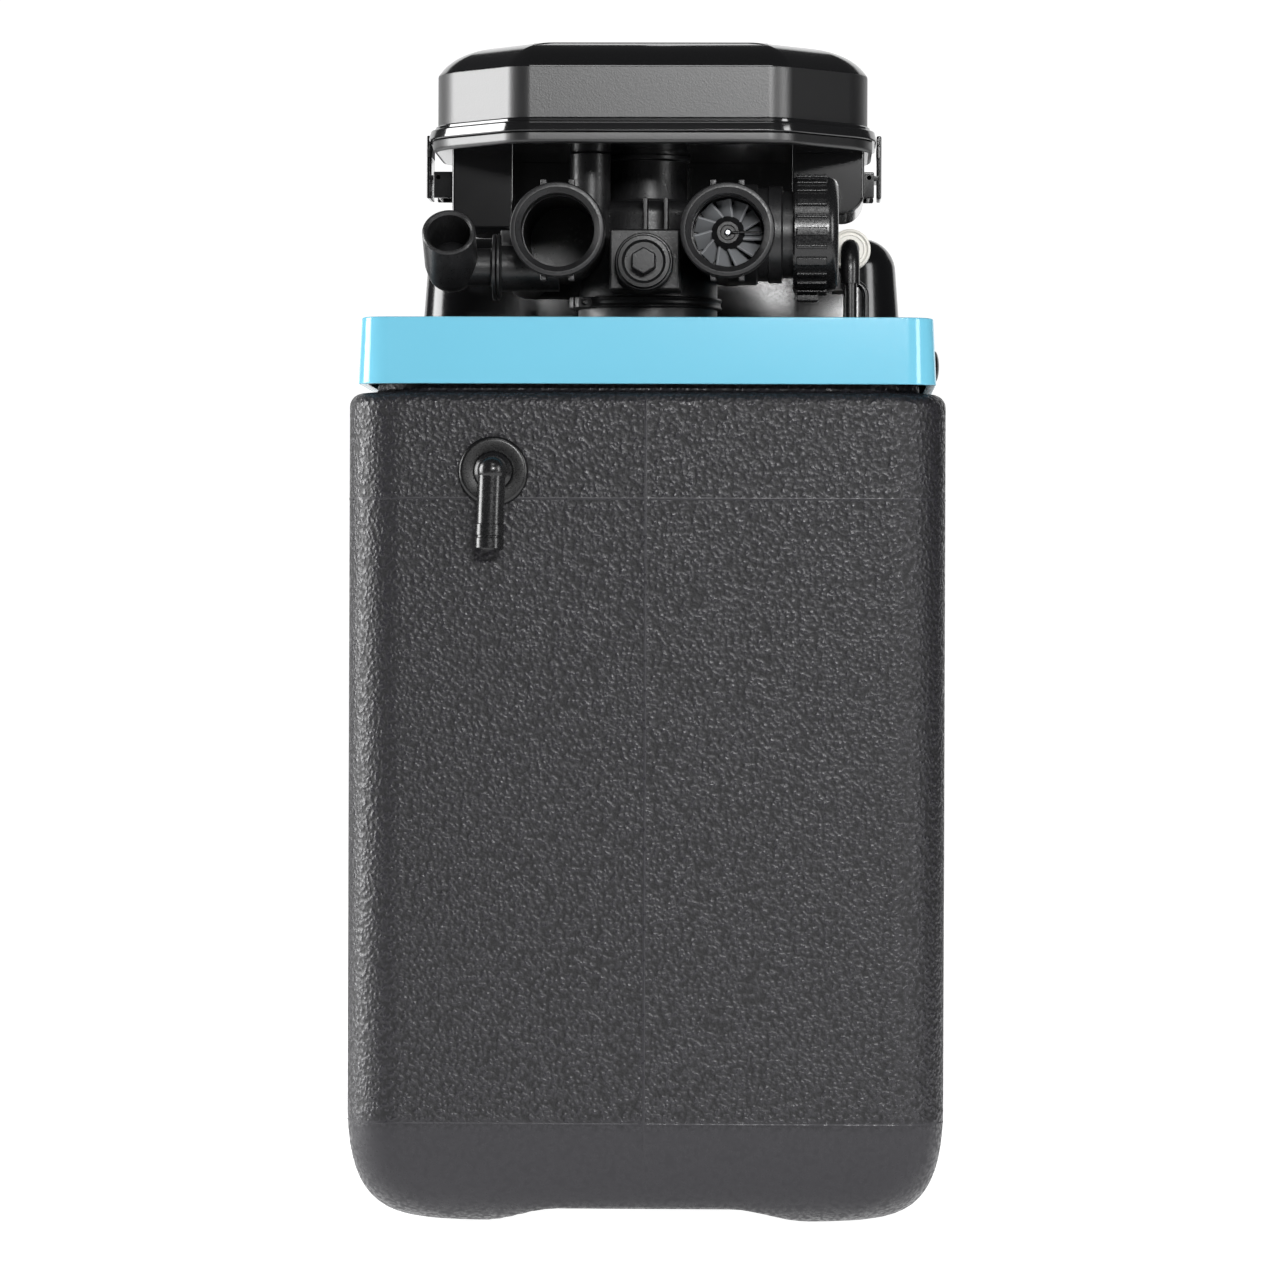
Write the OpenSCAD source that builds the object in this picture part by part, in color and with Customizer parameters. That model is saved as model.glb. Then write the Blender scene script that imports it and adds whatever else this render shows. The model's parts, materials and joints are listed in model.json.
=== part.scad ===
// Cabinet water softener. Millimetres, +Z up, rear face towards -Y, origin on the floor
// under the middle of the whole part.

/* [Cabinet] */
// Width of the cabinet
cabinet_w = 259; // [240:1:320]
// Depth of the cabinet from rear to front
cabinet_d = 470; // [450:1:560]
// Height of the shoulder above the floor
shoulder_h = 360.5; // [340:0.5:460]
// Wall thickness of the cabinet
cabinet_wall = 3.5; // [2.5:0.1:4.5]
// Radius of the upright corners
corner_r = 24; // [18:1:30]
// Radius of the shoulder edge
shoulder_r = 6; // [3:0.5:8]
// How far the neck stands in from the sides
neck_inset = 11.5; // [10.5:0.5:14]
// Height of the neck above the shoulder
neck_h = 19.5; // [15:0.5:22]
// How far the foot edge is drawn in from the sides
foot_inset = 40; // [32:1:46]
// Height at which the foot curve meets the side
foot_rise = 48; // [36:1:60]
// Height of the arch between the foot runners
arch_h = 7; // [3:0.5:10]
// Width of the flat top of the arch
arch_flat_w = 76; // [50:1:100]
// Width of the arch at the floor
arch_foot_w = 146; // [120:1:150]

/* [Collar and deck] */
// How far the foot of the collar stands in from the cabinet sides
collar_inset = 4.25; // [3:0.25:6]
// Gap between the shoulder and the collar
collar_gap = 3.5; // [2:0.5:6]
// Height of the collar
collar_h = 29; // [27:0.5:36]
// Wall thickness of the collar
collar_wall = 3; // [2:0.25:3.5]
// Draft of the collar, in over its height
collar_draft = 1.3; // [0.5:0.1:1.5]
// Corner radius of the collar
collar_r = 14; // [10:1:18]
// Width of the ledge inside the collar
ledge_w = 12; // [9:0.5:16]
// Thickness of the ledge
ledge_t = 3; // [2:0.5:4]
// Diameter of the side plugs
side_plug_d = 14; // [8:0.5:18]
// Height of the dome on a side plug
side_plug_dome = 2; // [1:0.25:3]
// Distance of the side plugs from the rear face
side_plug_back = 60; // [40:1:120]
// Thickness of the deck
deck_t = 3; // [2:0.5:4]
// Gap round the deck
deck_gap = 0.3; // [0.2:0.05:0.6]

/* [Salt lid] */
// Gap between the lid and the inside of the collar at the sides
lid_margin = 7.5; // [5:0.25:12]
// Gap between the lid and the inside of the collar at the front
lid_front_gap = 1.7; // [1:0.1:5]
// Depth of the lid
lid_d = 224; // [200:1:228]
// Height of the lid above the deck
lid_h = 57; // [45:0.5:60]
// Lean of the lid walls, in over their height
lid_lean = 3; // [1:0.5:6]
// Radius of the top edge of the lid
lid_edge_r = 16; // [8:0.5:20]
// Radius of the lid corners
lid_corner_r = 24; // [22:0.5:28]
// Wall thickness of the lid
lid_wall = 3; // [2:0.25:4]
// How far the salt opening stands in from the lid
opening_inset = 14; // [12:0.5:20]
// Height of the rim round the salt opening
coaming_h = 5; // [3:0.5:7]
// Distance of each hinge from the middle
hinge_x = 70; // [50:1:85]
// Radius of the hinge pins
hinge_pin_r = 2; // [1.5:0.1:2.5]
// Radius of the hinge knuckles
knuckle_r = 5; // [4:0.25:5.5]
// Length of a hinge knuckle
knuckle_l = 18; // [12:1:24]
// Thickness of a hinge lug
lug_t = 6; // [4:0.5:8]
// Distance of the hinge axis behind the lid and above the deck
hinge_off = 6; // [5.8:0.1:7]

/* [Overflow] */
// Distance of the overflow from the middle
overflow_x = 65.6; // [40:0.5:80]
// Distance of the overflow below the shoulder
overflow_drop = 34.5; // [30:0.5:80.5]
// How far the overflow elbow stands out from the rear face
overflow_reach = 18.5; // [17:0.25:24]
// Diameter of the grommet
grommet_d = 30.2; // [27:0.2:36]
// Diameter of the elbow stem
stem_d = 16; // [14:0.5:18]
// Diameter of the hose barb
barb_d = 12.6; // [11:0.2:14]
// Length of the leg below the stem axis
leg_l = 34; // [28:0.5:40]
// Lean of the leg
leg_lean = 2; // [0:0.5:5]

/* [Resin tank] */
// Radius of the resin tank
tank_r = 90; // [80:0.5:92]
// Wall thickness of the tank
tank_wall = 3; // [2:0.25:4]
// Height of the tank dome
dome_h = 50; // [40:1:60]
// Height of the top of the tank dome
tank_top_h = 330; // [300:1:335]
// Radius of the tank neck
tank_neck_r = 31; // [29:0.25:33]
// Height of the top of the tank neck above the deck
tank_neck_h = 17; // [14:0.5:20]
// Radius of the riser tube
riser_r = 13; // [11:0.5:13.5]
// Height of the resin bed
bed_h = 170; // [120:1:180]

/* [Brine well] */
// Distance of the brine well from the middle
well_x = 62; // [58:0.5:64]
// Position of the brine well from the rear face
well_back = 235.75; // [225:0.25:260]
// Radius of the brine well
well_r = 24; // [22:0.5:26]
// Wall thickness of the brine well
well_wall = 1.5; // [1:0.1:2]
// Height of the brine well above the cabinet floor
well_h = 320; // [315:1:325]
// Radius of the float
float_r = 8; // [6:0.25:8.5]
// Length of the float
float_l = 40; // [25:1:60]
// Travel of the float
float_travel = 150; // [80:1:160]
// Radius of the float rod
float_rod_r = 2; // [1.5:0.1:2.5]

/* [Valve] */
// Offset of the valve axis to the right
valve_x = -2; // [-6:0.5:6]
// Distance of the valve axis from the rear face
valve_back = 99.75; // [98:0.25:104]
// Radius of the valve barrel
barrel_r = 31; // [29:0.25:33]
// Radius of the bore for the seal stack
barrel_bore_r = 19; // [17:0.25:20]
// Radius of the tower
tower_r = 17.4; // [16.5:0.1:19]
// Distance between the two port axes
port_span = 73.5; // [70:0.5:78]
// Height of the port axes above the deck
port_h = 44.7; // [42:0.1:46]
// Distance of the port ends from the rear face
port_back = 4.75; // [3:0.25:8]
// Outer diameter of a port
port_od = 41; // [38:0.5:43]
// Bore of the socket in a port
port_bore = 31.9; // [30:0.1:33]
// Depth of the socket in a port
port_socket_l = 18; // [14:0.5:22]
// Step in from the socket to the waterway behind it
waterway_step = 0.45; // [0.3:0.05:2]
// Height of the plug axis above the deck
plug_h = 32.5; // [30.5:0.25:34]
// Radius of the plug boss
plug_boss_r = 12.7; // [11.5:0.1:13.5]
// Distance of the plug boss end from the rear face
plug_back = 33.75; // [31:0.25:40]
// Radius of the plug shank
plug_r = 8; // [6:0.25:8.5]
// Width across the corners of the plug head
plug_head_d = 12; // [9:0.5:14]
// Length of the plug head
plug_head_l = 8; // [5:0.5:11]

/* [Turbine] */
// Number of turbine blades
blade_count = 11; // [7:1:13]
// Gap between the blade tips and the waterway
blade_gap = 0.3; // [0.2:0.05:1.5]
// Radius of the turbine hub
turbine_hub_r = 7.2; // [5:0.1:8]
// Thickness of the turbine along its axis
turbine_t = 8; // [6:0.5:10]
// Distance of the turbine behind the socket
turbine_inset = 4; // [3.5:0.25:10]
// Thickness of a blade
blade_t = 1.2; // [0.8:0.1:1.6]
// Pitch of the blades from the axis
blade_pitch = 40; // [20:1:50]
// Radius of the turbine pin
turbine_pin_r = 1; // [0.8:0.05:1.4]

/* [Injector branch] */
// Distance of the branch axis from the rear face
branch_back = 40.75; // [38:0.25:44]
// Radius of the branch
branch_r = 22; // [20:0.25:23]
// Distance of the inner end of the nut from the valve axis
nut_x = 65; // [63:0.25:68]
// Width of the nut
nut_w = 19.8; // [17:0.1:20.5]
// Radius of the nut over its ribs
nut_r = 26.5; // [25:0.1:27]
// Number of ribs on the nut
nut_ribs = 24; // [16:1:30]
// Radius of the threaded end inside the nut
thread_r = 19; // [17:0.25:20]
// Bore of the branch
branch_bore_r = 13.3; // [12:0.1:14]

/* [Drain] */
// Height of the drain axis above the deck
drain_h = 30; // [29:0.25:31]
// Distance of the drain axis from the rear face
drain_back = 35.75; // [34:0.25:38]
// Distance of the drain flange from the valve axis
drain_x = 64; // [62:0.25:66]
// Radius of the drain flanges
drain_flange_r = 14.5; // [13:0.25:15]
// Radius of the elbow stem
drain_stem_r = 7; // [6:0.1:7.2]
// Distance of the mouth axis beyond the flange
mouth_x = 20; // [17:0.25:22]
// Outer diameter of the mouth
mouth_d = 23.2; // [21:0.2:25]
// Bore of the mouth
mouth_bore = 18.7; // [16:0.1:19.5]
// Distance of the mouth end from the drain axis
mouth_l = 28; // [25:0.5:30]
// Upward tilt of the mouth
mouth_tilt = 30; // [20:1:40]

/* [Brine fitting] */
// Distance of the brine nut from the valve axis
brine_x = 90; // [89:0.25:93]
// Height of the brine nut above the deck
brine_h = 40.5; // [38:0.25:42]
// Distance of the face of the brine nut from the rear face
brine_back = 73.75; // [71:0.25:76]
// Radius of the brine nut
brine_nut_r = 9.1; // [8:0.1:10]
// Thickness of the brine nut
brine_nut_t = 9; // [7:0.5:11]
// Radius of the arm to the brine nut
arm_r = 6; // [5.5:0.1:6.5]
// Outer radius of the brine tube
brine_tube_r = 3; // [2.5:0.1:3.2]
// Distance of the hanging brine tube from the rear face
tube_drop_back = 57.75; // [55:0.25:62]
// Radius of the sensor lead
lead_r = 1.5; // [1:0.1:1.7]
// Distance of the sensor lead beside the brine tube
lead_spacing = 7; // [6:0.25:9]
// Distance of the sensor lead from the rear face
lead_back = 75.75; // [72:0.25:80]

/* [Head] */
// Offset of the head to the right
head_x = 0.5; // [-2:0.5:3]
// Width of the head cover
head_w = 190; // [186:1:196]
// Depth of the head cover
head_d = 160; // [154:1:162]
// Distance of the head cover from the rear face
head_back = 20.75; // [18:0.25:26]
// Width of the flat rear face of the head
head_flat_w = 116; // [100:1:124]
// Depth of the angled rear corners
head_corner_d = 42; // [34:1:48]
// Height of the underside of the tray above the deck
tray_h = 83; // [82:0.5:88]
// Height of the tray rim
tray_rim_h = 5; // [4.5:0.25:6]
// How far the tray rim stands out
tray_rim_w = 2.2; // [1.5:0.1:2.6]
// How far the cover rim stands out
cover_rim_w = 4; // [3:0.1:4.4]
// Height of the cover rim
cover_rim_h = 4.5; // [4:0.25:6]
// Height of the upright cover wall above its rim
cover_wall_h = 24; // [20:0.5:30]
// Height of the crown of the cover
crown_h = 12.5; // [9:0.5:16]
// Width of the bevel round the crown
crown_inset = 27; // [20:0.5:30]
// Wall thickness of the head mouldings
head_wall = 2.5; // [2:0.1:3]
// Height of the left pocket below the tray
left_pocket_h = 33.4; // [28:0.2:36]
// Height of the right pocket below the tray
right_pocket_h = 26.8; // [22:0.2:30]
// Distance of the pockets from the rear face
pocket_back = 75.75; // [74:0.25:80]
// Depth of the pockets
pocket_d = 70; // [60:1:80]
// Height of the sump between the pockets
sump_h = 24; // [18:0.5:27]
// Depth of the sump between the pockets
sump_d = 14; // [10:0.5:14.5]
// Thickness of a latch arm
latch_t = 2.2; // [1.5:0.1:2.6]
// Width of a latch
latch_w = 26; // [20:0.5:30]
// Height of the latch below the top of the cover rim
latch_h = 28; // [26:0.5:30]
// Radius of the latch pins
latch_pin_r = 1; // [0.8:0.05:1.2]
// Gap between the cover rim and a latch
latch_gap = 0.3; // [0.3:0.05:0.6]

/* [Drive] */
// Module of the gears
gear_module = 1; // [0.9:0.05:1.05]
// Teeth on the drive gear
gear_teeth = 48; // [44:1:50]
// Teeth on the motor pinion
pinion_teeth = 12; // [11:1:14]
// Width of the gears
gear_w = 6; // [4:0.5:7]
// Radius of the motor
motor_r = 13.5; // [11:0.5:14]
// Height of the motor
motor_h = 18; // [15:0.5:19]
// Radius of the piston
piston_r = 12; // [10:0.25:12.5]
// Length of the piston
piston_l = 24; // [20:0.5:26]
// Travel of the piston
piston_travel = 12; // [8:0.5:12]
// Radius of the piston rod
rod_r = 4; // [3:0.1:4.5]

/* [Controls] */
// Diameter of a key
key_d = 10; // [8:0.5:11]
// Distance between keys
key_pitch = 26; // [20:0.5:30]
// Travel of a key
key_travel = 1.5; // [1:0.1:1.8]
// Width of the display window
window_w = 60; // [50:1:80]
// Depth of the display window
window_d = 22; // [18:0.5:26]

/* [Fits] */
// Radial clearance of a running fit
running_fit = 0.05; // [0.03:0.01:0.08]
// Clearance between loose pieces
loose_gap = 0.3; // [0.3:0.05:0.5]
// Clearance of a piece set into another
seat_gap = 0.1; // [0.05:0.05:0.2]

/* [Hidden] */
$fn = 64;
round_steps = 8;
eps = 0.5;

grey = "#4a494d";
black = "#1b1b1d";
blue = "#7fcde6";
steel = "#b9bcc0";
white = "#eceae4";

// Levels
neck_top = shoulder_h + neck_h;
collar_z = shoulder_h + collar_gap;
collar_top = collar_z + collar_h;
ledge_top = neck_top + ledge_t;
deck_top = ledge_top + deck_t;
floor_z = arch_h + cabinet_wall;
tray_z = deck_top + tray_h;
rim_z = tray_z + tray_rim_h;
wall_z = rim_z + cover_rim_h;
crown_z = wall_z + cover_wall_h;
head_top = crown_z + crown_h;

// Places from rear to front
rear_y = -(cabinet_d - overflow_reach)/2;
cabinet_y = rear_y + cabinet_d/2;
valve_y = rear_y + valve_back;
collar_in = collar_inset + collar_draft + collar_wall;
collar_in_w = cabinet_w - 2*collar_in;
collar_in_d = cabinet_d - 2*collar_in;
lid_w = collar_in_w - 2*lid_margin;
lid_front = rear_y + cabinet_d - collar_in - lid_front_gap;
lid_y = lid_front - lid_d/2;
hinge_y = lid_front - lid_d - hinge_off;
hinge_z = deck_top + hinge_off;

// Rounded rectangle about the origin
function round_rect(w, d, r, n = round_steps) = [
    for (c = [[1, 1, 0], [-1, 1, 90], [-1, -1, 180], [1, -1, 270]])
    for (i = [0:n])
    let (a = c[2] + 90*i/n)
    [c[0]*(w/2 - r) + r*cos(a), c[1]*(d/2 - r) + r*sin(a)]
];

function unit(v) = v/norm(v);

// Outward normal of an edge of an anticlockwise outline
function edge_normal(a, b) = unit([b[1] - a[1], a[0] - b[0]]);

// Anticlockwise convex outline moved out by g
function grow(p, g) = [
    for (i = [0:len(p) - 1])
    let (a = p[(i + len(p) - 1) % len(p)], b = p[i], c = p[(i + 1) % len(p)])
    let (m = edge_normal(a, b), n = edge_normal(b, c))
    b + (m + n)*g/(1 + m*n)
];

// Convex outline with a radius at each corner
function fillet(p, r, n = round_steps) = [
    for (i = [0:len(p) - 1])
    let (a = p[(i + len(p) - 1) % len(p)], b = p[i], c = p[(i + 1) % len(p)])
    let (u = unit(a - b), v = unit(c - b), h = acos(u*v)/2)
    let (k = b + unit(u + v)*r[i]/sin(h), s = b + u*r[i]/tan(h) - k)
    let (start = atan2(s[1], s[0]))
    for (j = [0:n])
    let (t = start + (180 - 2*h)*j/n)
    k + r[i]*[cos(t), sin(t)]
];

// Point on a cubic curve
function cubic(a, b, c, d, t) =
    a*pow(1 - t, 3) + b*3*t*pow(1 - t, 2) + c*3*t*t*(1 - t) + d*pow(t, 3);

// Cylinder along X, from x0 to x1
module along_x(r, x0, x1) {
    translate([x0, 0, 0]) rotate([0, 90, 0]) cylinder(r = r, h = x1 - x0);
}

// Cylinder along Y, from y0 to y1
module along_y(r, y0, y1) {
    translate([0, y1, 0]) rotate([90, 0, 0]) cylinder(r = r, h = y1 - y0);
}

// Ring of round section about Z
module o_ring(r, t) {
    rotate_extrude() translate([r, 0]) circle(t, $fn = 24);
}

// Cut for a ring of section t whose outside lies at radius r
module seal_groove(r, t) {
    rotate_extrude() translate([r - 2*t - seat_gap, -t - seat_gap]) square([2*t + eps, 2*(t + seat_gap)]);
}

// Tube of straight runs along the axes, with round bends
module bent_tube(path, r, bend) {
    last = len(path) - 1;
    for (i = [0:last - 1]) {
        run = path[i + 1] - path[i];
        dir = unit(run);
        start = path[i] + dir*(i == 0 ? 0 : bend);
        stop = path[i + 1] - dir*(i == last - 1 ? 0 : bend);
        side = abs(dir[2]) > 0.5 ? [1, 0, 0] : [0, 0, 1];
        other = cross(dir, side);
        multmatrix([
            [side[0], other[0], dir[0], start[0]],
            [side[1], other[1], dir[1], start[1]],
            [side[2], other[2], dir[2], start[2]],
            [0, 0, 0, 1]
        ]) cylinder(r = r, h = norm(stop - start));
        if (i < last - 1) {
            next = unit(path[i + 2] - path[i + 1]);
            centre = path[i + 1] - dir*bend + next*bend;
            up = cross(-next, dir);
            multmatrix([
                [-next[0], dir[0], up[0], centre[0]],
                [-next[1], dir[1], up[1], centre[1]],
                [-next[2], dir[2], up[2], centre[2]],
                [0, 0, 0, 1]
            ]) rotate_extrude(angle = 90) translate([bend, 0]) circle(r);
        }
    }
}

// Solid through outlines of equal length, listed upwards as [outline, height]
module loft(levels) {
    n = len(levels[0][0]);
    m = len(levels);
    polyhedron(
        points = [for (l = levels) for (p = l[0]) [p[0], p[1], l[1]]],
        faces = concat(
            [[for (i = [0:n - 1]) i]],
            [[for (i = [n - 1:-1:0]) (m - 1)*n + i]],
            [for (k = [0:m - 2]) for (i = [0:n - 1])
                let (j = (i + 1) % n)
                [k*n + i, (k + 1)*n + i, (k + 1)*n + j, k*n + j]]
        )
    );
}

// Cabinet levels from the floor to the shoulder, as inset and height
function cabinet_levels(wall, base) = concat(
    [for (i = [0:round_steps])
        let (p = cubic([1, 0], [0.3, 0.01], [0.025, 0.29], [0, 1], i/round_steps))
        [wall + p[0]*foot_inset, base + p[1]*(foot_rise - base)]],
    [for (i = [0:round_steps])
        let (a = 90*i/round_steps)
        [wall + shoulder_r*(1 - cos(a)), shoulder_h - wall - shoulder_r*(1 - sin(a))]]
);

module cabinet_form(wall, base) {
    loft([for (p = cabinet_levels(wall, base))
        [round_rect(cabinet_w - 2*p[0], cabinet_d - 2*p[0], corner_r - wall), p[1]]]);
}

module arch() {
    run = (arch_foot_w - arch_flat_w)/2;
    side = [for (i = [0:round_steps])
        let (t = i/round_steps)
        [arch_foot_w/2 - run*t, arch_h*(1 - cos(180*t))/2]];
    other = [for (i = [round_steps:-1:0]) [-side[i][0], side[i][1]]];
    outline = concat([[arch_foot_w/2, -eps]], side, other, [[-arch_foot_w/2, -eps]]);
    translate([0, cabinet_d/2 + eps, 0]) rotate([90, 0, 0]) linear_extrude(cabinet_d + 2*eps)
        polygon(outline);
}

overflow_h = shoulder_h - overflow_drop;
grommet_sleeve_t = 3;
grommet_hole_r = stem_d/2 + grommet_sleeve_t;

module at_overflow() {
    translate([-overflow_x, rear_y, overflow_h]) rotate([90, 0, 0]) children();
}

module cabinet() {
    neck_r = corner_r - neck_inset;
    inside = neck_inset + cabinet_wall;
    color(grey) difference() {
        translate([0, cabinet_y, 0]) difference() {
            union() {
                cabinet_form(0, 0);
                translate([0, 0, shoulder_h - eps]) linear_extrude(neck_h + eps)
                    polygon(round_rect(cabinet_w - 2*neck_inset, cabinet_d - 2*neck_inset, neck_r));
            }
            cabinet_form(cabinet_wall, floor_z);
            translate([0, 0, shoulder_h - cabinet_wall - eps]) linear_extrude(neck_h + cabinet_wall + 2*eps)
                polygon(round_rect(cabinet_w - 2*inside, cabinet_d - 2*inside, neck_r - cabinet_wall));
            arch();
        }
        at_overflow() translate([0, 0, -cabinet_wall - eps])
            cylinder(r = grommet_hole_r + seat_gap, h = cabinet_wall + 2*eps);
    }
}

side_plug_rise = 10;
side_plug_z = collar_z + side_plug_rise;
side_plug_brim = 2.5;
side_plug_shank_r = side_plug_d/2 - side_plug_brim;
side_plug_catch = 1;

module collar() {
    w = cabinet_w - 2*collar_inset;
    d = cabinet_d - 2*collar_inset;
    color(blue) difference() {
        translate([0, cabinet_y, 0]) {
            difference() {
                loft([
                    [round_rect(w, d, collar_r), collar_z],
                    [round_rect(w - 2*collar_draft, d - 2*collar_draft, collar_r), collar_top]
                ]);
                translate([0, 0, collar_z - eps]) linear_extrude(collar_h + 2*eps)
                    polygon(round_rect(collar_in_w, collar_in_d, collar_r - collar_wall));
            }
            translate([0, 0, neck_top]) linear_extrude(ledge_t) difference() {
                polygon(round_rect(collar_in_w + eps, collar_in_d + eps, collar_r - collar_wall));
                polygon(round_rect(collar_in_w - 2*ledge_w, collar_in_d - 2*ledge_w, collar_r));
            }
        }
        translate([0, rear_y + side_plug_back, side_plug_z])
            along_x(side_plug_shank_r + seat_gap, -cabinet_w/2, cabinet_w/2);
    }
}

module collar_plugs() {
    r = side_plug_d/2;
    face = cabinet_w/2 - collar_inset;
    inner = cabinet_w/2 - collar_in - side_plug_catch;
    color(black) for (s = [0, 1]) mirror([s, 0, 0])
        translate([face, rear_y + side_plug_back, side_plug_z]) rotate([0, 90, 0]) {
            rotate_extrude() polygon([
                [0, 0], [r, 0], [r, 0.3*side_plug_dome], [0.75*r, 0.8*side_plug_dome],
                [0.4*r, side_plug_dome], [0, side_plug_dome]
            ]);
            translate([0, 0, inner - face]) cylinder(r = side_plug_shank_r, h = face - inner + seat_gap);
        }
}

// Places of the two hinges
module at_hinges() {
    for (s = [-1, 1]) translate([s*hinge_x, hinge_y, hinge_z]) children();
}

pin_fit = 0.02;
coaming_t = 3;
tube_drop_y = rear_y + tube_drop_back;
tube_drop_x = valve_x + brine_x;
lead_x = tube_drop_x + lead_spacing;
lead_y = rear_y + lead_back;
gland_h = 4.5;
gland_wall = 2.5;

// Places of the glands for the brine tube and the sensor lead
module at_glands() {
    for (g = [[tube_drop_x, tube_drop_y, brine_tube_r], [lead_x, lead_y, lead_r]]) {
        $gland_r = g[2];
        translate([g[0], g[1], ledge_top]) children();
    }
}

module deck() {
    w = collar_in_w - 2*deck_gap;
    d = collar_in_d - 2*deck_gap;
    rim = lid_corner_r - opening_inset;
    lug_x = knuckle_l/2 + loose_gap;
    color(black) difference() {
        union() {
            translate([0, cabinet_y, ledge_top]) linear_extrude(deck_t)
                polygon(round_rect(w, d, collar_r - collar_wall));
            translate([0, lid_y, deck_top - eps]) linear_extrude(coaming_h + eps)
                polygon(round_rect(lid_w - 2*(opening_inset - coaming_t),
                    lid_d - 2*(opening_inset - coaming_t), rim + coaming_t));
            at_hinges() for (s = [0, 1]) mirror([s, 0, 0]) {
                along_x(knuckle_r, lug_x, lug_x + lug_t);
                translate([lug_x, -knuckle_r, -hinge_off - eps]) cube([lug_t, 2*knuckle_r, hinge_off + eps]);
            }
            at_glands() cylinder(r = $gland_r + gland_wall, h = deck_t + gland_h);
        }
        translate([0, lid_y, ledge_top - eps]) linear_extrude(deck_t + coaming_h + 2*eps)
            polygon(round_rect(lid_w - 2*opening_inset, lid_d - 2*opening_inset, rim));
        at_hinges() along_x(hinge_pin_r + pin_fit, -knuckle_l, knuckle_l);
        translate([valve_x, valve_y, ledge_top - eps])
            cylinder(r = tank_neck_r + loose_gap, h = deck_t + 2*eps);
        at_glands() translate([0, 0, -eps]) cylinder(r = $gland_r + seat_gap, h = deck_t + gland_h + 2*eps);
    }
}

// Lid levels as inset and height, for a shell of the given wall
function lid_levels(wall, base) = concat(
    [[wall, base]],
    [for (i = [0:round_steps])
        let (a = 90*i/round_steps, r = lid_edge_r - wall)
        [wall + lid_lean + r*(1 - cos(a)), deck_top + lid_h - lid_edge_r + r*sin(a)]]
);

module lid_form(wall, base) {
    translate([0, lid_y, 0]) loft([for (p = lid_levels(wall, base))
        [round_rect(lid_w - 2*p[0], lid_d - 2*p[0], lid_corner_r - p[0]), p[1]]]);
}

module salt_lid() {
    color(black) difference() {
        union() {
            difference() {
                lid_form(0, deck_top + seat_gap);
                lid_form(lid_wall, deck_top - eps);
            }
            at_hinges() {
                along_x(knuckle_r, -knuckle_l/2, knuckle_l/2);
                translate([-knuckle_l/2, 0, -knuckle_r/2]) cube([knuckle_l, hinge_off + 1, 1.5*knuckle_r]);
            }
        }
        at_hinges() along_x(hinge_pin_r + running_fit, -knuckle_l, knuckle_l);
    }
}

module lid_hinge_pins() {
    half = knuckle_l/2 + loose_gap + lug_t;
    color(steel) at_hinges() along_x(hinge_pin_r, -half, half);
}

grommet_lip = 3;
grommet_catch = 2;
grommet_edge = 1.2;

module overflow_grommet() {
    r = grommet_d/2;
    bore = stem_d/2 + running_fit;
    back = -cabinet_wall - grommet_lip;
    color(black) at_overflow() rotate_extrude() polygon([
        [bore, back], [grommet_hole_r + grommet_catch, back], [grommet_hole_r + grommet_catch, -cabinet_wall],
        [grommet_hole_r, -cabinet_wall], [grommet_hole_r, 0], [r, 0], [r, 0.4*grommet_lip],
        [r - grommet_edge, grommet_lip], [bore, grommet_lip]
    ]);
}

barb_ring_l = 5.2;
barb_groove = 0.7;
barb_step = 0.45;
leg_wall = 1.55;
leg_r = barb_d/2 - barb_step;
leg_bore_r = leg_r - leg_wall;
stem_catch = 1;
stem_catch_l = 3;
stem_show = 1;
stem_taper_l = 1.5;
leg_axis = overflow_reach - barb_d/2;

module overflow_elbow() {
    r = stem_d/2;
    back = -cabinet_wall - grommet_lip - loose_gap;
    tail = back - stem_catch_l;
    shoulder = grommet_lip + stem_show;
    color(black) difference() {
        union() {
            at_overflow() {
                rotate_extrude() polygon([
                    [0, tail], [r + stem_catch, tail], [r + stem_catch, back], [r, back], [r, shoulder],
                    [barb_d/2, shoulder + stem_taper_l], [barb_d/2, leg_axis], [0, leg_axis]
                ]);
                translate([0, 0, leg_axis]) sphere(r = barb_d/2);
            }
            at_leg() {
                translate([0, 0, -leg_l]) cylinder(r = leg_r, h = leg_l);
                for (i = [0, 1]) translate([0, 0, -leg_l + i*(barb_ring_l + barb_groove)])
                    cylinder(r = barb_d/2, h = barb_ring_l);
            }
        }
        at_overflow() translate([0, 0, tail - eps]) cylinder(r = leg_bore_r, h = leg_axis - tail + eps);
        at_leg() translate([0, 0, -leg_l - eps]) cylinder(r = leg_bore_r, h = leg_l + eps);
        at_leg() sphere(r = leg_bore_r);
    }
}

module at_leg() {
    translate([-overflow_x, rear_y - leg_axis, overflow_h]) rotate([0, leg_lean, 0]) children();
}

// Resin tank
tank_lift = 3;
tank_z = floor_z + tank_lift;
neck_wall = 5;
neck_bore_r = tank_neck_r - neck_wall;
tank_neck_z = deck_top + tank_neck_h;
seal_t = 1.5;
seal_r = (tank_neck_r + neck_bore_r)/2;

module at_tank() {
    translate([valve_x, valve_y, 0]) children();
}

function dome_low(r, h, z) = [
    for (i = [0:round_steps]) let (a = 90*i/round_steps) [r*sin(a), z + h*(1 - cos(a))]
];

function dome_high(r, h, z, inner) = [
    for (i = [0:round_steps]) let (a = acos(inner/r)*i/round_steps) [r*cos(a), z + h*sin(a)]
];

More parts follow.
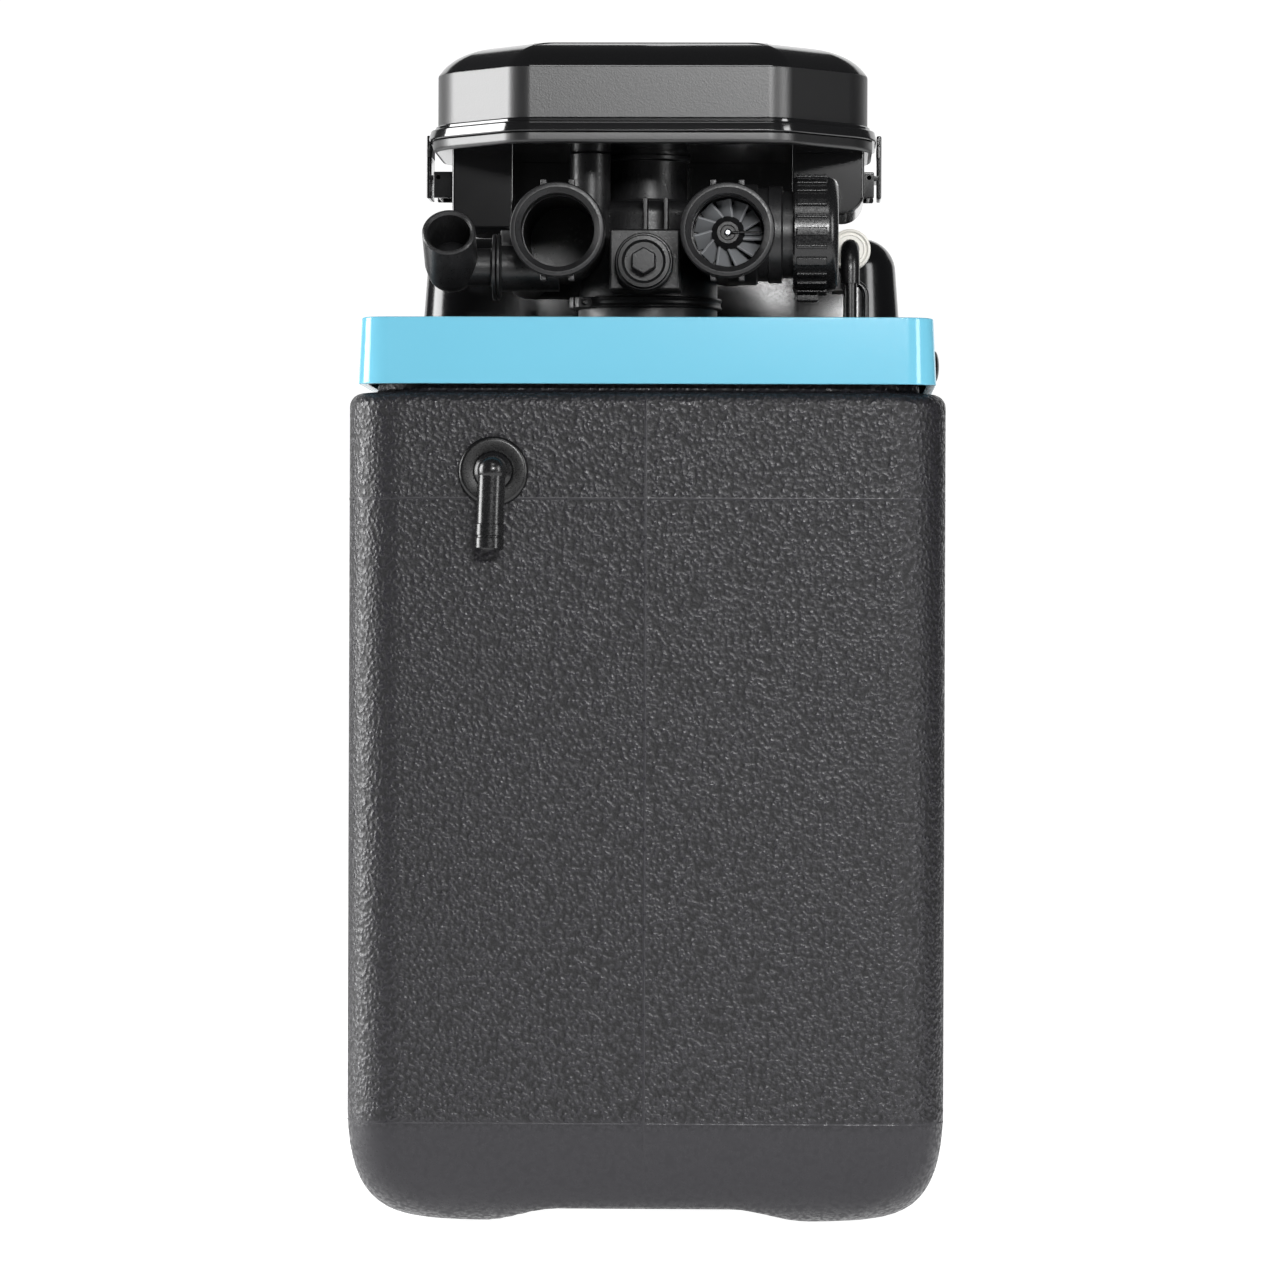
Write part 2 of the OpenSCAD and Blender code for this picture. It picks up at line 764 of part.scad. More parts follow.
module resin_tank() {
    straight = tank_top_h - dome_h;
    r = tank_r - tank_wall;
    h = dome_h - tank_wall;
    groove_w = seal_t + seat_gap;
    color("#c9c5b8") at_tank() difference() {
        rotate_extrude() polygon(concat(
            dome_low(tank_r, dome_h, tank_z),
            dome_high(tank_r, dome_h, straight, tank_neck_r),
            [[tank_neck_r, tank_neck_z], [0, tank_neck_z]]
        ));
        rotate_extrude() polygon(concat(
            dome_low(r, h, tank_z + tank_wall),
            dome_high(r, h, straight, neck_bore_r),
            [[neck_bore_r, tank_neck_z + eps], [0, tank_neck_z + eps]]
        ));
        translate([0, 0, tank_neck_z - 2*seal_t - seat_gap]) rotate_extrude()
            translate([seal_r - groove_w, 0]) square([2*groove_w, 4*seal_t]);
    }
}

base_in_r = 44;
base_out_r = 56;

module tank_base() {
    curve = [for (i = [0:round_steps])
        let (r = base_out_r + (base_in_r - base_out_r)*i/round_steps)
        [r, tank_z - seat_gap + dome_h*(1 - sqrt(1 - pow(r/tank_r, 2)))]];
    color(black) at_tank() rotate_extrude()
        polygon(concat([[base_in_r, floor_z], [base_out_r, floor_z]], curve));
}

module resin_bed() {
    color("#b8873a") at_tank() translate([0, 0, tank_z + dome_h]) difference() {
        cylinder(r = tank_r - tank_wall - loose_gap, h = bed_h);
        translate([0, 0, -eps]) cylinder(r = riser_r + loose_gap, h = bed_h + 2*eps);
    }
}

riser_wall = 1.5;
basket_wall = 5;
basket_r = riser_r + basket_wall;
basket_lift = 1.5;
basket_z = tank_z + tank_wall + basket_lift;
basket_h = 30;
basket_floor = 3;
basket_socket = 9;
riser_z = basket_z + basket_h - basket_socket;
riser_socket = 3;
slot_w = 1.2;
slot_margin = 4;
lower_slots = 16;
upper_slots = 20;

module riser_tube() {
    h = tank_neck_z + riser_socket - riser_z;
    color(white) at_tank() translate([0, 0, riser_z]) difference() {
        cylinder(r = riser_r, h = h);
        translate([0, 0, -eps]) cylinder(r = riser_r - riser_wall, h = h + 2*eps);
    }
}

// Upright slots round a basket
module slots(r, z, h, count) {
    for (i = [0:count - 1]) rotate(360*i/count) translate([0, -slot_w/2, z]) cube([r + eps, slot_w, h]);
}

module lower_basket() {
    color(white) at_tank() translate([0, 0, basket_z]) difference() {
        cylinder(r = basket_r, h = basket_h);
        translate([0, 0, basket_floor]) cylinder(r = riser_r - riser_wall, h = basket_h);
        translate([0, 0, riser_z - basket_z]) cylinder(r = riser_r + seat_gap, h = basket_h);
        slots(basket_r, slot_margin, riser_z - basket_z - 2*slot_margin, lower_slots);
    }
}

upper_basket_h = 30;
upper_basket_gap = 2;
upper_basket_wall = 2;

module upper_basket() {
    r = neck_bore_r - upper_basket_gap;
    color(white) at_tank() translate([0, 0, tank_neck_z - upper_basket_h]) difference() {
        cylinder(r = r, h = upper_basket_h);
        translate([0, 0, upper_basket_wall]) cylinder(r = r - upper_basket_wall, h = upper_basket_h);
        translate([0, 0, -eps]) cylinder(r = riser_r + loose_gap, h = upper_basket_h);
        slots(r, slot_margin, upper_basket_h - 2*slot_margin, upper_slots);
    }
}

module neck_seal() {
    color(black) at_tank() translate([0, 0, tank_neck_z - seal_t]) o_ring(seal_r, seal_t);
}

clamp_t = 2;
clamp_h = 5;
clamp_angle = 215;
clamp_ear_l = 7;
clamp_ear_w = 8;
clamp_slit = 1;

module neck_clamp() {
    r = max(tank_neck_r, barrel_r) + seat_gap;
    color(black) at_tank() translate([0, 0, tank_neck_z - clamp_h/2]) rotate(clamp_angle) difference() {
        union() {
            cylinder(r = r + clamp_t, h = clamp_h);
            translate([r + clamp_t/2, -clamp_ear_w/2, 0]) cube([clamp_ear_l, clamp_ear_w, clamp_h]);
        }
        translate([0, 0, -eps]) cylinder(r = r, h = clamp_h + 2*eps);
        translate([r - clamp_t, -clamp_slit/2, -eps])
            cube([clamp_ear_l + 3*clamp_t, clamp_slit, clamp_h + 2*eps]);
    }
}

// Brine well and the brine line
well_y = rear_y + well_back;
well_top = floor_z + well_h;
tube_entry = 12.5;
tube_run_z = well_top - tube_entry;
tube_offset = 4;
tube_end_x = well_x + tube_offset;
tube_grip = 10;
rod_offset = 12;
well_foot = 12;
well_slot_h = 30;
well_slots = 8;
cap_brim = 2;
cap_t = 3;
cap_skirt = 6;
brine_valve_r = 7;
rod_socket_r = 5;
valve_web = 6;
tube_bend = 10;
brine_y = brine_back - valve_back;
fitting_axis_y = brine_y + 20;

brine_route = [
    [tube_drop_x, valve_y + brine_y + tube_grip, deck_top + brine_h],
    [tube_drop_x, tube_drop_y, deck_top + brine_h],
    [tube_drop_x, tube_drop_y, tube_run_z],
    [tube_drop_x, well_y, tube_run_z],
    [tube_end_x, well_y, tube_run_z],
    [tube_end_x, well_y, floor_z + 3*well_foot]
];

module brine_well() {
    color(white) difference() {
        translate([well_x, well_y, floor_z]) difference() {
            cylinder(r = well_r, h = well_h);
            translate([0, 0, well_foot]) cylinder(r = well_r - well_wall, h = well_h);
            slots(well_r, well_foot, well_slot_h, well_slots);
        }
        bent_tube(brine_route, brine_tube_r + loose_gap, tube_bend);
    }
}

module brine_well_cap() {
    color(black) translate([well_x, well_y, well_top]) {
        cylinder(r = well_r + cap_brim, h = cap_t);
        translate([0, 0, -cap_skirt]) difference() {
            cylinder(r = well_r - well_wall - loose_gap, h = cap_skirt + eps);
            translate([0, 0, -eps]) cylinder(r = well_r - 2*well_wall - loose_gap, h = cap_skirt + eps);
        }
    }
}

float_z = floor_z + 5*well_foot;

module float() {
    color(white) translate([well_x - rod_offset, well_y, float_z]) difference() {
        cylinder(r = float_r, h = float_l);
        translate([0, 0, -eps]) cylinder(r = float_rod_r + 2*running_fit, h = float_l + 2*eps);
    }
}

module float_rod() {
    color(steel) translate([well_x - rod_offset, well_y, floor_z + 2*well_foot])
        cylinder(r = float_rod_r, h = float_travel + float_l + 5*well_foot);
}

module brine_valve() {
    color(black) translate([0, well_y, floor_z + well_foot]) difference() {
        union() {
            translate([tube_end_x, 0, 0]) cylinder(r = brine_valve_r, h = 3*well_foot);
            translate([well_x - rod_offset, -valve_web/2, 0])
                cube([tube_offset + rod_offset, valve_web, 2*well_foot]);
            translate([well_x - rod_offset, 0, 0]) cylinder(r = rod_socket_r, h = 2*well_foot);
        }
        translate([tube_end_x, 0, 2*well_foot]) cylinder(r = brine_tube_r + seat_gap, h = 3*well_foot);
        translate([well_x - rod_offset, 0, well_foot]) cylinder(r = float_rod_r + pin_fit, h = 3*well_foot);
    }
}

module brine_tube() {
    color(black) bent_tube(brine_route, brine_tube_r, tube_bend);
}

// Valve body, in places measured from the valve axis and the deck
port_y = port_back - valve_back;
plug_y = plug_back - valve_back;
drain_y = drain_back - valve_back;
branch_y = branch_back - valve_back;
port_tube_r = port_od/2 - 1.5;
waterway_r = port_bore/2 - waterway_step;
port_lip = 12;
gallery_x = drain_x - 11;
gallery_r = 10.5;
passage_r = 5;
thread_lead = 9;
thread_x = nut_x - thread_lead;
thread_short = 6;
thread_end = nut_x + nut_w - thread_short;
arm_step = 1;
arm_x = nut_x + arm_step;
arm_socket = 8;
arm_wall = 2;
bore_floor = 5;
bore_z = tank_neck_h + bore_floor;
bore_spare = 2;
bore_top = bore_z + piston_l + piston_travel + bore_spare;
barrel_cap_t = 2;
barrel_top_h = bore_top + barrel_cap_t;
screw_ring_r = (tower_r + rod_r)/2 + 2;
screw_r = 1.8;
screw_l = 14;

module at_valve() {
    translate([valve_x, valve_y, deck_top]) children();
}

module at_ports() {
    for (s = [-1, 1]) translate([s*port_span/2, 0, port_h]) children();
}

module at_screws() {
    for (a = [60, 180, 300]) rotate(a) translate([screw_ring_r, 0, tray_h + head_wall]) children();
}

port_edge = 1;
tab_x = 6.1;
tab_back = 4;
tab_rise = 1.4;
tab_size = [2.6, 7, 3.2];

module port_solid() {
    along_y(port_tube_r, port_y, 0);
    along_y(port_od/2, port_y + port_edge, port_y + port_lip);
    translate([0, port_y + port_edge, 0]) rotate([90, 0, 0])
        cylinder(r1 = port_od/2, r2 = port_od/2 - port_edge, h = port_edge);
    for (sx = [-1, 1]) for (sz = [0, 1]) mirror([0, 0, sz])
        translate([sx*tab_x - tab_size[0]/2, port_y + tab_back, port_od/2 + tab_rise - tab_size[2]])
            cube(tab_size);
    sphere(r = port_tube_r);
}

plate_w = 31;
plate_z = tank_neck_h + clamp_h/2 + 1;
plate_top = 47.4;
plate_back = 10;
post_place = [-25, -22];
side_post_r = 9;
rib_places = [0, 9];
rib_t = 2;
rib_start = -46;
rib_d = 40;
gallery_end = 2;
cross_extra = 3;
plug_hole_l = 18;
drain_hole_l = 9;
branch_floor = 1;

module valve_body() {
    color(black) at_valve() difference() {
        union() {
            translate([0, 0, tank_neck_h]) cylinder(r = barrel_r, h = barrel_top_h - tank_neck_h);
            translate([0, 0, barrel_top_h - eps]) cylinder(r = tower_r, h = tray_h - barrel_top_h + eps);
            translate([post_place[0], post_place[1], port_h]) cylinder(r = side_post_r, h = tray_h - port_h);
            at_ports() port_solid();
            translate([-plate_w/2, plug_y + plate_back, plate_z])
                cube([plate_w, -plug_y - plate_back, plate_top - plate_z]);
            translate([0, 0, plug_h]) along_y(plug_boss_r, plug_y, 0);
            for (x = rib_places) translate([x - rib_t/2, rib_start, port_h])
                cube([rib_t, rib_d, barrel_top_h - port_h]);
            translate([0, drain_y, drain_h]) {
                along_x(gallery_r, -drain_x, -port_span/2);
                along_x(drain_flange_r, -drain_x, -drain_x + drain_disc_t);
            }
            translate([-gallery_x, 0, drain_h]) along_y(gallery_r, drain_y - gallery_end, 0);
            translate([0, 0, drain_h]) along_x(gallery_r, -gallery_x, 0);
            translate([0, branch_y, port_h]) {
                along_x(branch_r, port_span/2, thread_x);
                along_x(thread_r, thread_x - eps, thread_end);
            }
            translate([0, fitting_axis_y, brine_h]) along_x(arm_r, port_span/2, arm_x);
        }
        translate([0, 0, bore_z]) cylinder(r = barrel_bore_r, h = bore_top - bore_z);
        translate([0, 0, tank_neck_h - eps]) cylinder(r = riser_r + seat_gap, h = riser_socket + eps);
        translate([0, 0, tank_neck_h]) cylinder(r = riser_r - riser_wall, h = bore_z - tank_neck_h + eps);
        translate([0, 0, bore_top - eps]) cylinder(r = rod_r + loose_gap, h = tray_h);
        at_ports() along_y(port_bore/2, port_y - eps, port_y + port_socket_l);
        at_ports() along_y(waterway_r, port_y, 0);
        translate([0, 0, port_h]) along_x(passage_r + cross_extra, -port_span/2, port_span/2);
        translate([0, 0, plug_h]) along_y(plug_r + running_fit, plug_y - eps, plug_y + plug_hole_l);
        translate([0, drain_y, drain_h]) {
            along_x(drain_stem_r + running_fit, -drain_x - eps, -drain_x + drain_hole_l);
            along_x(passage_r, -drain_x, -gallery_x);
        }
        translate([-gallery_x, 0, drain_h]) along_y(passage_r, drain_y, 0);
        translate([0, 0, drain_h]) along_x(passage_r, -gallery_x, 0);
        translate([0, branch_y, port_h]) along_x(branch_bore_r, thread_x - branch_floor, thread_end + eps);
        translate([0, fitting_axis_y, brine_h])
            along_x(arm_r - arm_wall + seat_gap, arm_x - arm_socket, arm_x + eps);
        at_screws() translate([0, 0, -screw_l]) cylinder(r = screw_r + pin_fit, h = screw_l + eps);
    }
}

seal_rings = 4;
seal_ring_h = 3;
seal_ring_depth = 2;

module seal_stack() {
    r = barrel_bore_r - seat_gap;
    h = bore_top - bore_z - 2*seat_gap;
    color("#2c2c2e") at_valve() translate([0, 0, bore_z + seat_gap]) difference() {
        cylinder(r = r, h = h);
        translate([0, 0, -eps]) cylinder(r = piston_r + running_fit, h = h + 2*eps);
        for (i = [1:seal_rings]) translate([0, 0, i*h/(seal_rings + 1) - seal_ring_h/2]) difference() {
            cylinder(r = r + eps, h = seal_ring_h);
            translate([0, 0, -eps]) cylinder(r = r - seal_ring_depth, h = seal_ring_h + 2*eps);
        }
    }
}

piston_z = bore_z + 2*seat_gap + loose_gap;
gear_lift = 2;
gear_z = tray_h + head_wall + motor_h + gear_lift;
piston_waist = 3;
rod_short = 1;

module piston() {
    color("#d8d4c8") at_valve() translate([0, 0, piston_z]) difference() {
        cylinder(r = piston_r, h = piston_l);
        translate([0, 0, piston_l/3]) difference() {
            cylinder(r = piston_r + eps, h = piston_l/3);
            translate([0, 0, -eps]) cylinder(r = piston_r - piston_waist, h = piston_l);
        }
    }
}

module piston_rod() {
    z = piston_z + piston_l;
    color(steel) at_valve() translate([0, 0, z]) cylinder(r = rod_r, h = gear_z + gear_w - rod_short - z);
}

turbine_y = port_y + port_socket_l + turbine_inset;
turbine_r = waterway_r - blade_gap;
blade_root = 1;
nose_l = 2;
nose_taper = 2.5;
pin_head_l = 1;
pin_head = 0.6;
bar_r = 0.5;
bar_gap = 0.7;
cage_t = 5;
cage_wall = 1.6;
cage_hub_r = 3;
cage_arm_end = 0.5;

// Turbine axis, with +Z of the child pointing out of the port
module at_turbine() {
    at_valve() translate([port_span/2, turbine_y, port_h]) rotate([90, 0, 0]) children();
}

module turbine() {
    chord = turbine_t/cos(blade_pitch);
    reach = turbine_r - turbine_hub_r + blade_root;
    color("#8d8f92") at_turbine() difference() {
        union() {
            translate([0, 0, -turbine_t]) cylinder(r = turbine_hub_r, h = turbine_t);
            cylinder(r1 = turbine_hub_r, r2 = turbine_hub_r - nose_taper, h = nose_l);
            intersection() {
                translate([0, 0, -turbine_t]) cylinder(r = turbine_r, h = turbine_t);
                for (i = [0:blade_count - 1]) rotate(360*i/blade_count)
                    translate([turbine_r - reach/2, 0, -turbine_t/2]) rotate([blade_pitch, 0, 0])
                        cube([reach + 2*eps, blade_t, chord], center = true);
            }
        }
        translate([0, 0, -turbine_t - eps])
            cylinder(r = turbine_pin_r + running_fit, h = turbine_t + nose_l + 2*eps);
    }
}

module turbine_pin() {
    back = -turbine_t - loose_gap - cage_t;
    color(steel) at_turbine() {
        translate([0, 0, back]) cylinder(r = turbine_pin_r, h = nose_l + 2*loose_gap - back);
        translate([0, 0, nose_l + loose_gap])
            cylinder(r1 = turbine_pin_r + pin_head, r2 = turbine_pin_r, h = pin_head_l);
    }
}

module turbine_cage() {
    r = waterway_r - seat_gap;
    color("#2c2c2e") at_turbine() {
        translate([0, 0, -turbine_t - loose_gap - cage_t]) difference() {
            union() {
                difference() {
                    cylinder(r = r, h = cage_t);
                    translate([0, 0, -eps]) cylinder(r = r - cage_wall, h = cage_t + 2*eps);
                }
                for (a = [0, 120, 240]) rotate(a) translate([0, -cage_wall/2, 0])
                    cube([r - cage_arm_end, cage_wall, cage_t]);
                cylinder(r = cage_hub_r, h = cage_t);
            }
            translate([0, 0, -eps]) cylinder(r = turbine_pin_r + pin_fit, h = cage_t + 2*eps);
        }
        translate([0, 0, nose_l + loose_gap + bar_r]) along_x(bar_r, turbine_pin_r + bar_gap, r);
    }
}

module at_branch() {
    at_valve() translate([0, branch_y, port_h]) rotate([0, 90, 0]) children();
}

jet_r = 2;
jet_floor = 4;
jet_wall = 3;

module injector() {
    color("#d8d4c8") at_branch() translate([0, 0, thread_x - branch_floor + loose_gap]) difference() {
        cylinder(r = branch_bore_r - loose_gap, h = thread_end - thread_x);
        translate([0, 0, jet_floor]) cylinder(r = branch_bore_r - jet_wall, h = thread_end);
        translate([0, 0, -eps]) cylinder(r = jet_r, h = jet_floor + 2*eps);
    }
}

injector_seal_t = 0.85;
injector_seal_in = 3;

module injector_seal() {
    color(black) at_branch() translate([0, 0, thread_end + injector_seal_t])
        o_ring(thread_r - injector_seal_in, injector_seal_t);
}

nut_rib_h = 1.2;
nut_rib_w = [3.6, 1.8];
nut_rib_start = 1.5;
nut_rib_root = 1;
nut_edge = 5;
nut_end_t = 4;
nut_lug_size = [5, 6, 9.7];
nut_lug_start = 1.3;

module injector_nut() {
    r = nut_r - nut_rib_h;
    rib_l = nut_w - nut_edge - nut_rib_start;
    corner = [for (i = [0:round_steps])
        let (a = 90*i/round_steps) [r - nut_edge*(1 - cos(a)), nut_w - nut_edge*(1 - sin(a))]];
    color(black) at_branch() translate([0, 0, nut_x]) difference() {
        union() {
            rotate_extrude()
                polygon(concat([[0, 0], [r - nut_rib_root, 0], [r, nut_rib_root]], corner, [[0, nut_w]]));
            for (i = [0:nut_ribs - 1]) {
                w = nut_rib_w[i % 2];
                rotate(360*i/nut_ribs) translate([r - nut_rib_root, -w/2, nut_rib_start])
                    cube([nut_rib_h + nut_rib_root, w, rib_l]);
            }
            translate([r - nut_rib_root, -nut_lug_size[1]/2, nut_lug_start]) cube(nut_lug_size);
        }
        translate([0, 0, -eps]) cylinder(r = thread_r + loose_gap, h = nut_w - nut_end_t + eps);
    }
}

// Drain axis, with +Z of the child pointing away from the valve
module at_drain() {
    at_valve() translate([-drain_x, drain_y, drain_h]) rotate([0, -90, 0]) children();
}

drain_disc_t = 1.6;
drain_seal_t = 0.6;
stem_in = 8;
stem_out = 2;
spigot_r = 8.3;
heel_step = 0.6;
mouth_floor = 2;
mouth_edge = 0.9;
clip_size = [6.5, 12, 10];
clip_rise = 6;
flow_disc_t = 2;
flow_hole_r = 1.5;
flow_disc_in = 1;

module at_mouth() {
    at_valve() translate([-drain_x - mouth_x, drain_y, drain_h]) rotate([90 - mouth_tilt, 0, 0]) children();
}

module drain_elbow() {
    color(black) difference() {
        union() {
            at_drain() {
                translate([0, 0, -stem_in]) cylinder(r = drain_stem_r, h = stem_in + stem_out);
                translate([0, 0, loose_gap]) cylinder(r = drain_flange_r, h = drain_disc_t);
                translate([0, 0, loose_gap]) cylinder(r = spigot_r, h = mouth_x);
            }
            at_mouth() {
                sphere(r = mouth_d/2 - heel_step);
                cylinder(r = mouth_d/2, h = mouth_l);
            }
        }
        at_drain() translate([0, 0, -stem_in - eps]) cylinder(r = passage_r, h = stem_in + mouth_x);
        at_mouth() {
            translate([0, 0, mouth_floor]) cylinder(r = mouth_bore/2, h = mouth_l);
            translate([0, 0, mouth_l - mouth_edge])
                cylinder(r1 = mouth_bore/2, r2 = mouth_bore/2 + mouth_edge, h = mouth_edge + eps);
        }
        at_drain() translate([0, 0, -stem_in/2]) seal_groove(drain_stem_r, drain_seal_t);
    }
}

module drain_seal() {
    color("#2c2c2e") at_drain() translate([0, 0, -stem_in/2])
        o_ring(drain_stem_r - drain_seal_t, drain_seal_t);
}

module drain_clip() {
    color(black) at_valve() translate([-drain_x + drain_disc_t, drain_y, drain_h]) difference() {
        translate([0, -clip_size[1]/2, clip_rise]) cube(clip_size);
        along_x(gallery_r + seat_gap, -eps, clip_size[0] + eps);
        translate([drain_x - drain_disc_t - gallery_x, 0, 0])
            along_y(gallery_r + seat_gap, -clip_size[1], clip_size[1]);
    }
}

module drain_flow_disc() {
    color(white) at_drain() translate([0, 0, -stem_in + flow_disc_in]) difference() {
        cylinder(r = passage_r - seat_gap, h = flow_disc_t);
        translate([0, 0, -eps]) cylinder(r = flow_hole_r, h = flow_disc_t + 2*eps);
    }
}

// Plug axis, with +Z of the child pointing out to the rear
module at_plug() {
    at_valve() translate([0, plug_y, plug_h]) rotate([90, 0, 0]) children();
}

plug_root = 1;
plug_flange_r = plug_boss_r - plug_root;
plug_flange_t = 2.2;
plug_flange_edge = 0.8;
plug_seal_t = 1;
plug_shank_l = 15;

module service_plug() {
    color(black) at_plug() difference() {
        union() {
            translate([0, 0, -plug_shank_l]) cylinder(r = plug_r, h = plug_shank_l + plug_root);
            translate([0, 0, loose_gap])
                cylinder(r1 = plug_flange_r, r2 = plug_flange_r - plug_flange_edge, h = plug_flange_t);
            translate([0, 0, plug_root]) cylinder(d = plug_head_d, h = plug_head_l, $fn = 6);
        }
        translate([0, 0, -plug_shank_l/2]) seal_groove(plug_r, plug_seal_t);
    }
}

module plug_seal() {
    color("#2c2c2e") at_plug() translate([0, 0, -plug_shank_l/2]) o_ring(plug_r - plug_seal_t, plug_seal_t);
}

fitting_end = 2.8;
sensor_z = 22;
sensor_x = 8;
sensor_w = 6;
sensor_h = 8;
sensor_over = 2;
nut_groove = 0.6;
nut_rim = [0.7, 1.6, 1.8];

module brine_fitting() {
    color(black) at_valve() difference() {
        union() {
            translate([0, fitting_axis_y, brine_h]) {
                along_x(arm_r - arm_wall, arm_x - arm_socket + loose_gap, arm_x + arm_step);
                along_x(arm_r, arm_x, brine_x);
                sphere_at(brine_x, arm_r);
            }
            translate([brine_x, 0, brine_h]) along_y(arm_r, brine_y + fitting_end, fitting_axis_y);
            translate([brine_x - sensor_x, fitting_axis_y - arm_r, sensor_z + sensor_h - sensor_over])
                cube([sensor_w, 2*arm_r, brine_h - sensor_z - sensor_h]);
            translate([brine_x - sensor_x, brine_y - sensor_x, sensor_z])
                cube([sensor_w, fitting_axis_y - brine_y + sensor_x + arm_r, sensor_h]);
        }
        translate([brine_x, 0, brine_h]) along_y(brine_tube_r + seat_gap, brine_y, fitting_axis_y);
    }
}

module sphere_at(x, r) {
    translate([x, 0, 0]) sphere(r = r);
}

module brine_nut() {
    color(white) at_valve() translate([brine_x, brine_y, brine_h]) rotate([-90, 0, 0]) difference() {
        rotate_extrude() polygon([
            [0, nut_groove], [brine_nut_r - nut_rim[2], nut_groove], [brine_nut_r - nut_rim[1], 0],
            [brine_nut_r - nut_rim[0], 0], [brine_nut_r, nut_rim[0]], [brine_nut_r, brine_nut_t],
            [0, brine_nut_t]
        ]);
        translate([0, 0, fitting_end - loose_gap]) cylinder(r = arm_r + loose_gap, h = brine_nut_t);
        translate([0, 0, -eps]) cylinder(r = brine_tube_r + loose_gap, h = brine_nut_t);
    }
}

lead_bend = 6;
probe_r = 4;
probe_socket = 2;
probe_l = 22;

module sensor_lead() {
    z = deck_top + sensor_z + sensor_h/2;
    color(black) {
        bent_tube([
            [tube_drop_x - sensor_x + sensor_w, lead_y, z], [lead_x, lead_y, z],
            [lead_x, lead_y, ledge_top - probe_socket]
        ], lead_r, lead_bend);
        translate([lead_x, lead_y, ledge_top - probe_l - loose_gap]) cylinder(r = probe_r, h = probe_l);
    }
}

// Head
head_front_w = 140;
head_front_d = 30;

function head_plan() = let (w = head_w/2, d = head_d/2, f = head_flat_w/2, g = head_front_w/2) [
    [-f, -d], [f, -d], [w, -d + head_corner_d], [w, d - head_front_d],
    [g, d], [-g, d], [-w, d - head_front_d], [-w, -d + head_corner_d]
];

head_radii = [14, 14, 34, 34, 34, 34, 34, 34];

function head_outline(g) = fillet(grow(head_plan(), g), [for (r = head_radii) max(r + g, 2)]);

module at_head() {
    translate([head_x, rear_y + head_back + head_d/2, 0]) children();
}

left_pocket = [-88.8, -61.5];
right_pocket = [61.5, 93.7];
pocket_y = pocket_back - head_back - head_d/2;
latch_y = pocket_y + pocket_d/2;
cover_half = head_w/2 + cover_rim_w;
latch_pin_in = 3;
latch_pin_drop = 18.9;
latch_pin_x = cover_half - latch_pin_in;
latch_pin_z = wall_z - latch_pin_drop;
latch_foot = wall_z - latch_h;
latch_lug_t = 4;
latch_knuckle_r = 1.9;
tray_floor = tray_z + head_wall;
gasket_w = 2;
gasket_h = 1;
gasket_shift = 0.2;
pocket_r = 9.7;

// Box hanging below the tray, with a rounded outer foot
module pocket(x0, x1, h, wall) {
    s = abs(x0) > abs(x1) ? 1 : 0;
    w = x1 - x0 - 2*wall;
    foot = [for (i = [0:round_steps]) let (a = 90*i/round_steps)
        [w - (pocket_r - wall)*(1 - sin(a)), (pocket_r - wall)*(1 - cos(a))]];
    translate([s == 1 ? x1 - wall : x0 + wall, pocket_y + wall, tray_z - h + wall]) mirror([s, 0, 0])
        translate([0, pocket_d - 2*wall, 0]) rotate([90, 0, 0]) linear_extrude(pocket_d - 2*wall)
            polygon(concat([[0, 0]], foot, [[w, h + eps], [0, h + eps]]));
}

// Box that joins the pockets at their front, wider by a side and drawn in by a wall
module sump(side, wall) {
    translate([left_pocket[1] - side, pocket_y + pocket_d - sump_d + wall, tray_z - sump_h + wall])
        cube([right_pocket[0] - left_pocket[1] + 2*side, sump_d - 2*wall, sump_h + eps]);
}

lug_root = 1;
lug_over = 2.5;
bridge_t = 1;
bridge_h = 5;

module latch_lugs(pocket_x) {
    y0 = latch_w/2 + loose_gap;
    lug_l = latch_pin_x + latch_knuckle_r + loose_gap - pocket_x + lug_root;
    lug_h = latch_pin_z + lug_over - latch_foot;
    for (s = [0, 1]) translate([0, latch_y, 0]) mirror([0, s, 0])
        translate([pocket_x - lug_root, y0, latch_foot]) cube([lug_l, latch_lug_t, lug_h]);
    translate([latch_pin_x - bridge_t, latch_y - y0 - lug_root, latch_foot])
        cube([bridge_t + loose_gap, 2*(y0 + lug_root), bridge_h]);
}

module head_tray() {
    pin_half = latch_w;
    color(black) difference() {
        at_head() difference() {
            union() {
                translate([0, 0, tray_z]) linear_extrude(tray_rim_h) polygon(head_outline(tray_rim_w));
                pocket(left_pocket[0], left_pocket[1], left_pocket_h, 0);
                pocket(right_pocket[0], right_pocket[1], right_pocket_h, 0);
                sump(head_wall/2, 0);
                latch_lugs(right_pocket[1]);
                mirror([1, 0, 0]) latch_lugs(-left_pocket[0]);
            }
            translate([0, 0, tray_floor]) linear_extrude(tray_rim_h) polygon(head_outline(-head_wall));
            pocket(left_pocket[0], left_pocket[1], left_pocket_h, head_wall);
            pocket(right_pocket[0], right_pocket[1], right_pocket_h, head_wall);
            sump(0, head_wall);
            for (s = [-1, 1]) translate([s*latch_pin_x, 0, latch_pin_z])
                along_y(latch_pin_r + pin_fit, latch_y - pin_half, latch_y + pin_half);
            translate([0, 0, rim_z - gasket_h]) linear_extrude(gasket_h + eps) difference() {
                polygon(head_outline(gasket_w/2 - gasket_shift + seat_gap));
                polygon(head_outline(-gasket_w/2 - gasket_shift - seat_gap));
            }
        }
        at_valve() translate([0, 0, tray_h - eps]) cylinder(r = rod_r + 2*loose_gap, h = head_wall + 2*eps);
        at_valve() at_screws() translate([0, 0, -head_wall - eps])
            cylinder(r = screw_r + seat_gap, h = head_wall + 2*eps);
    }
}

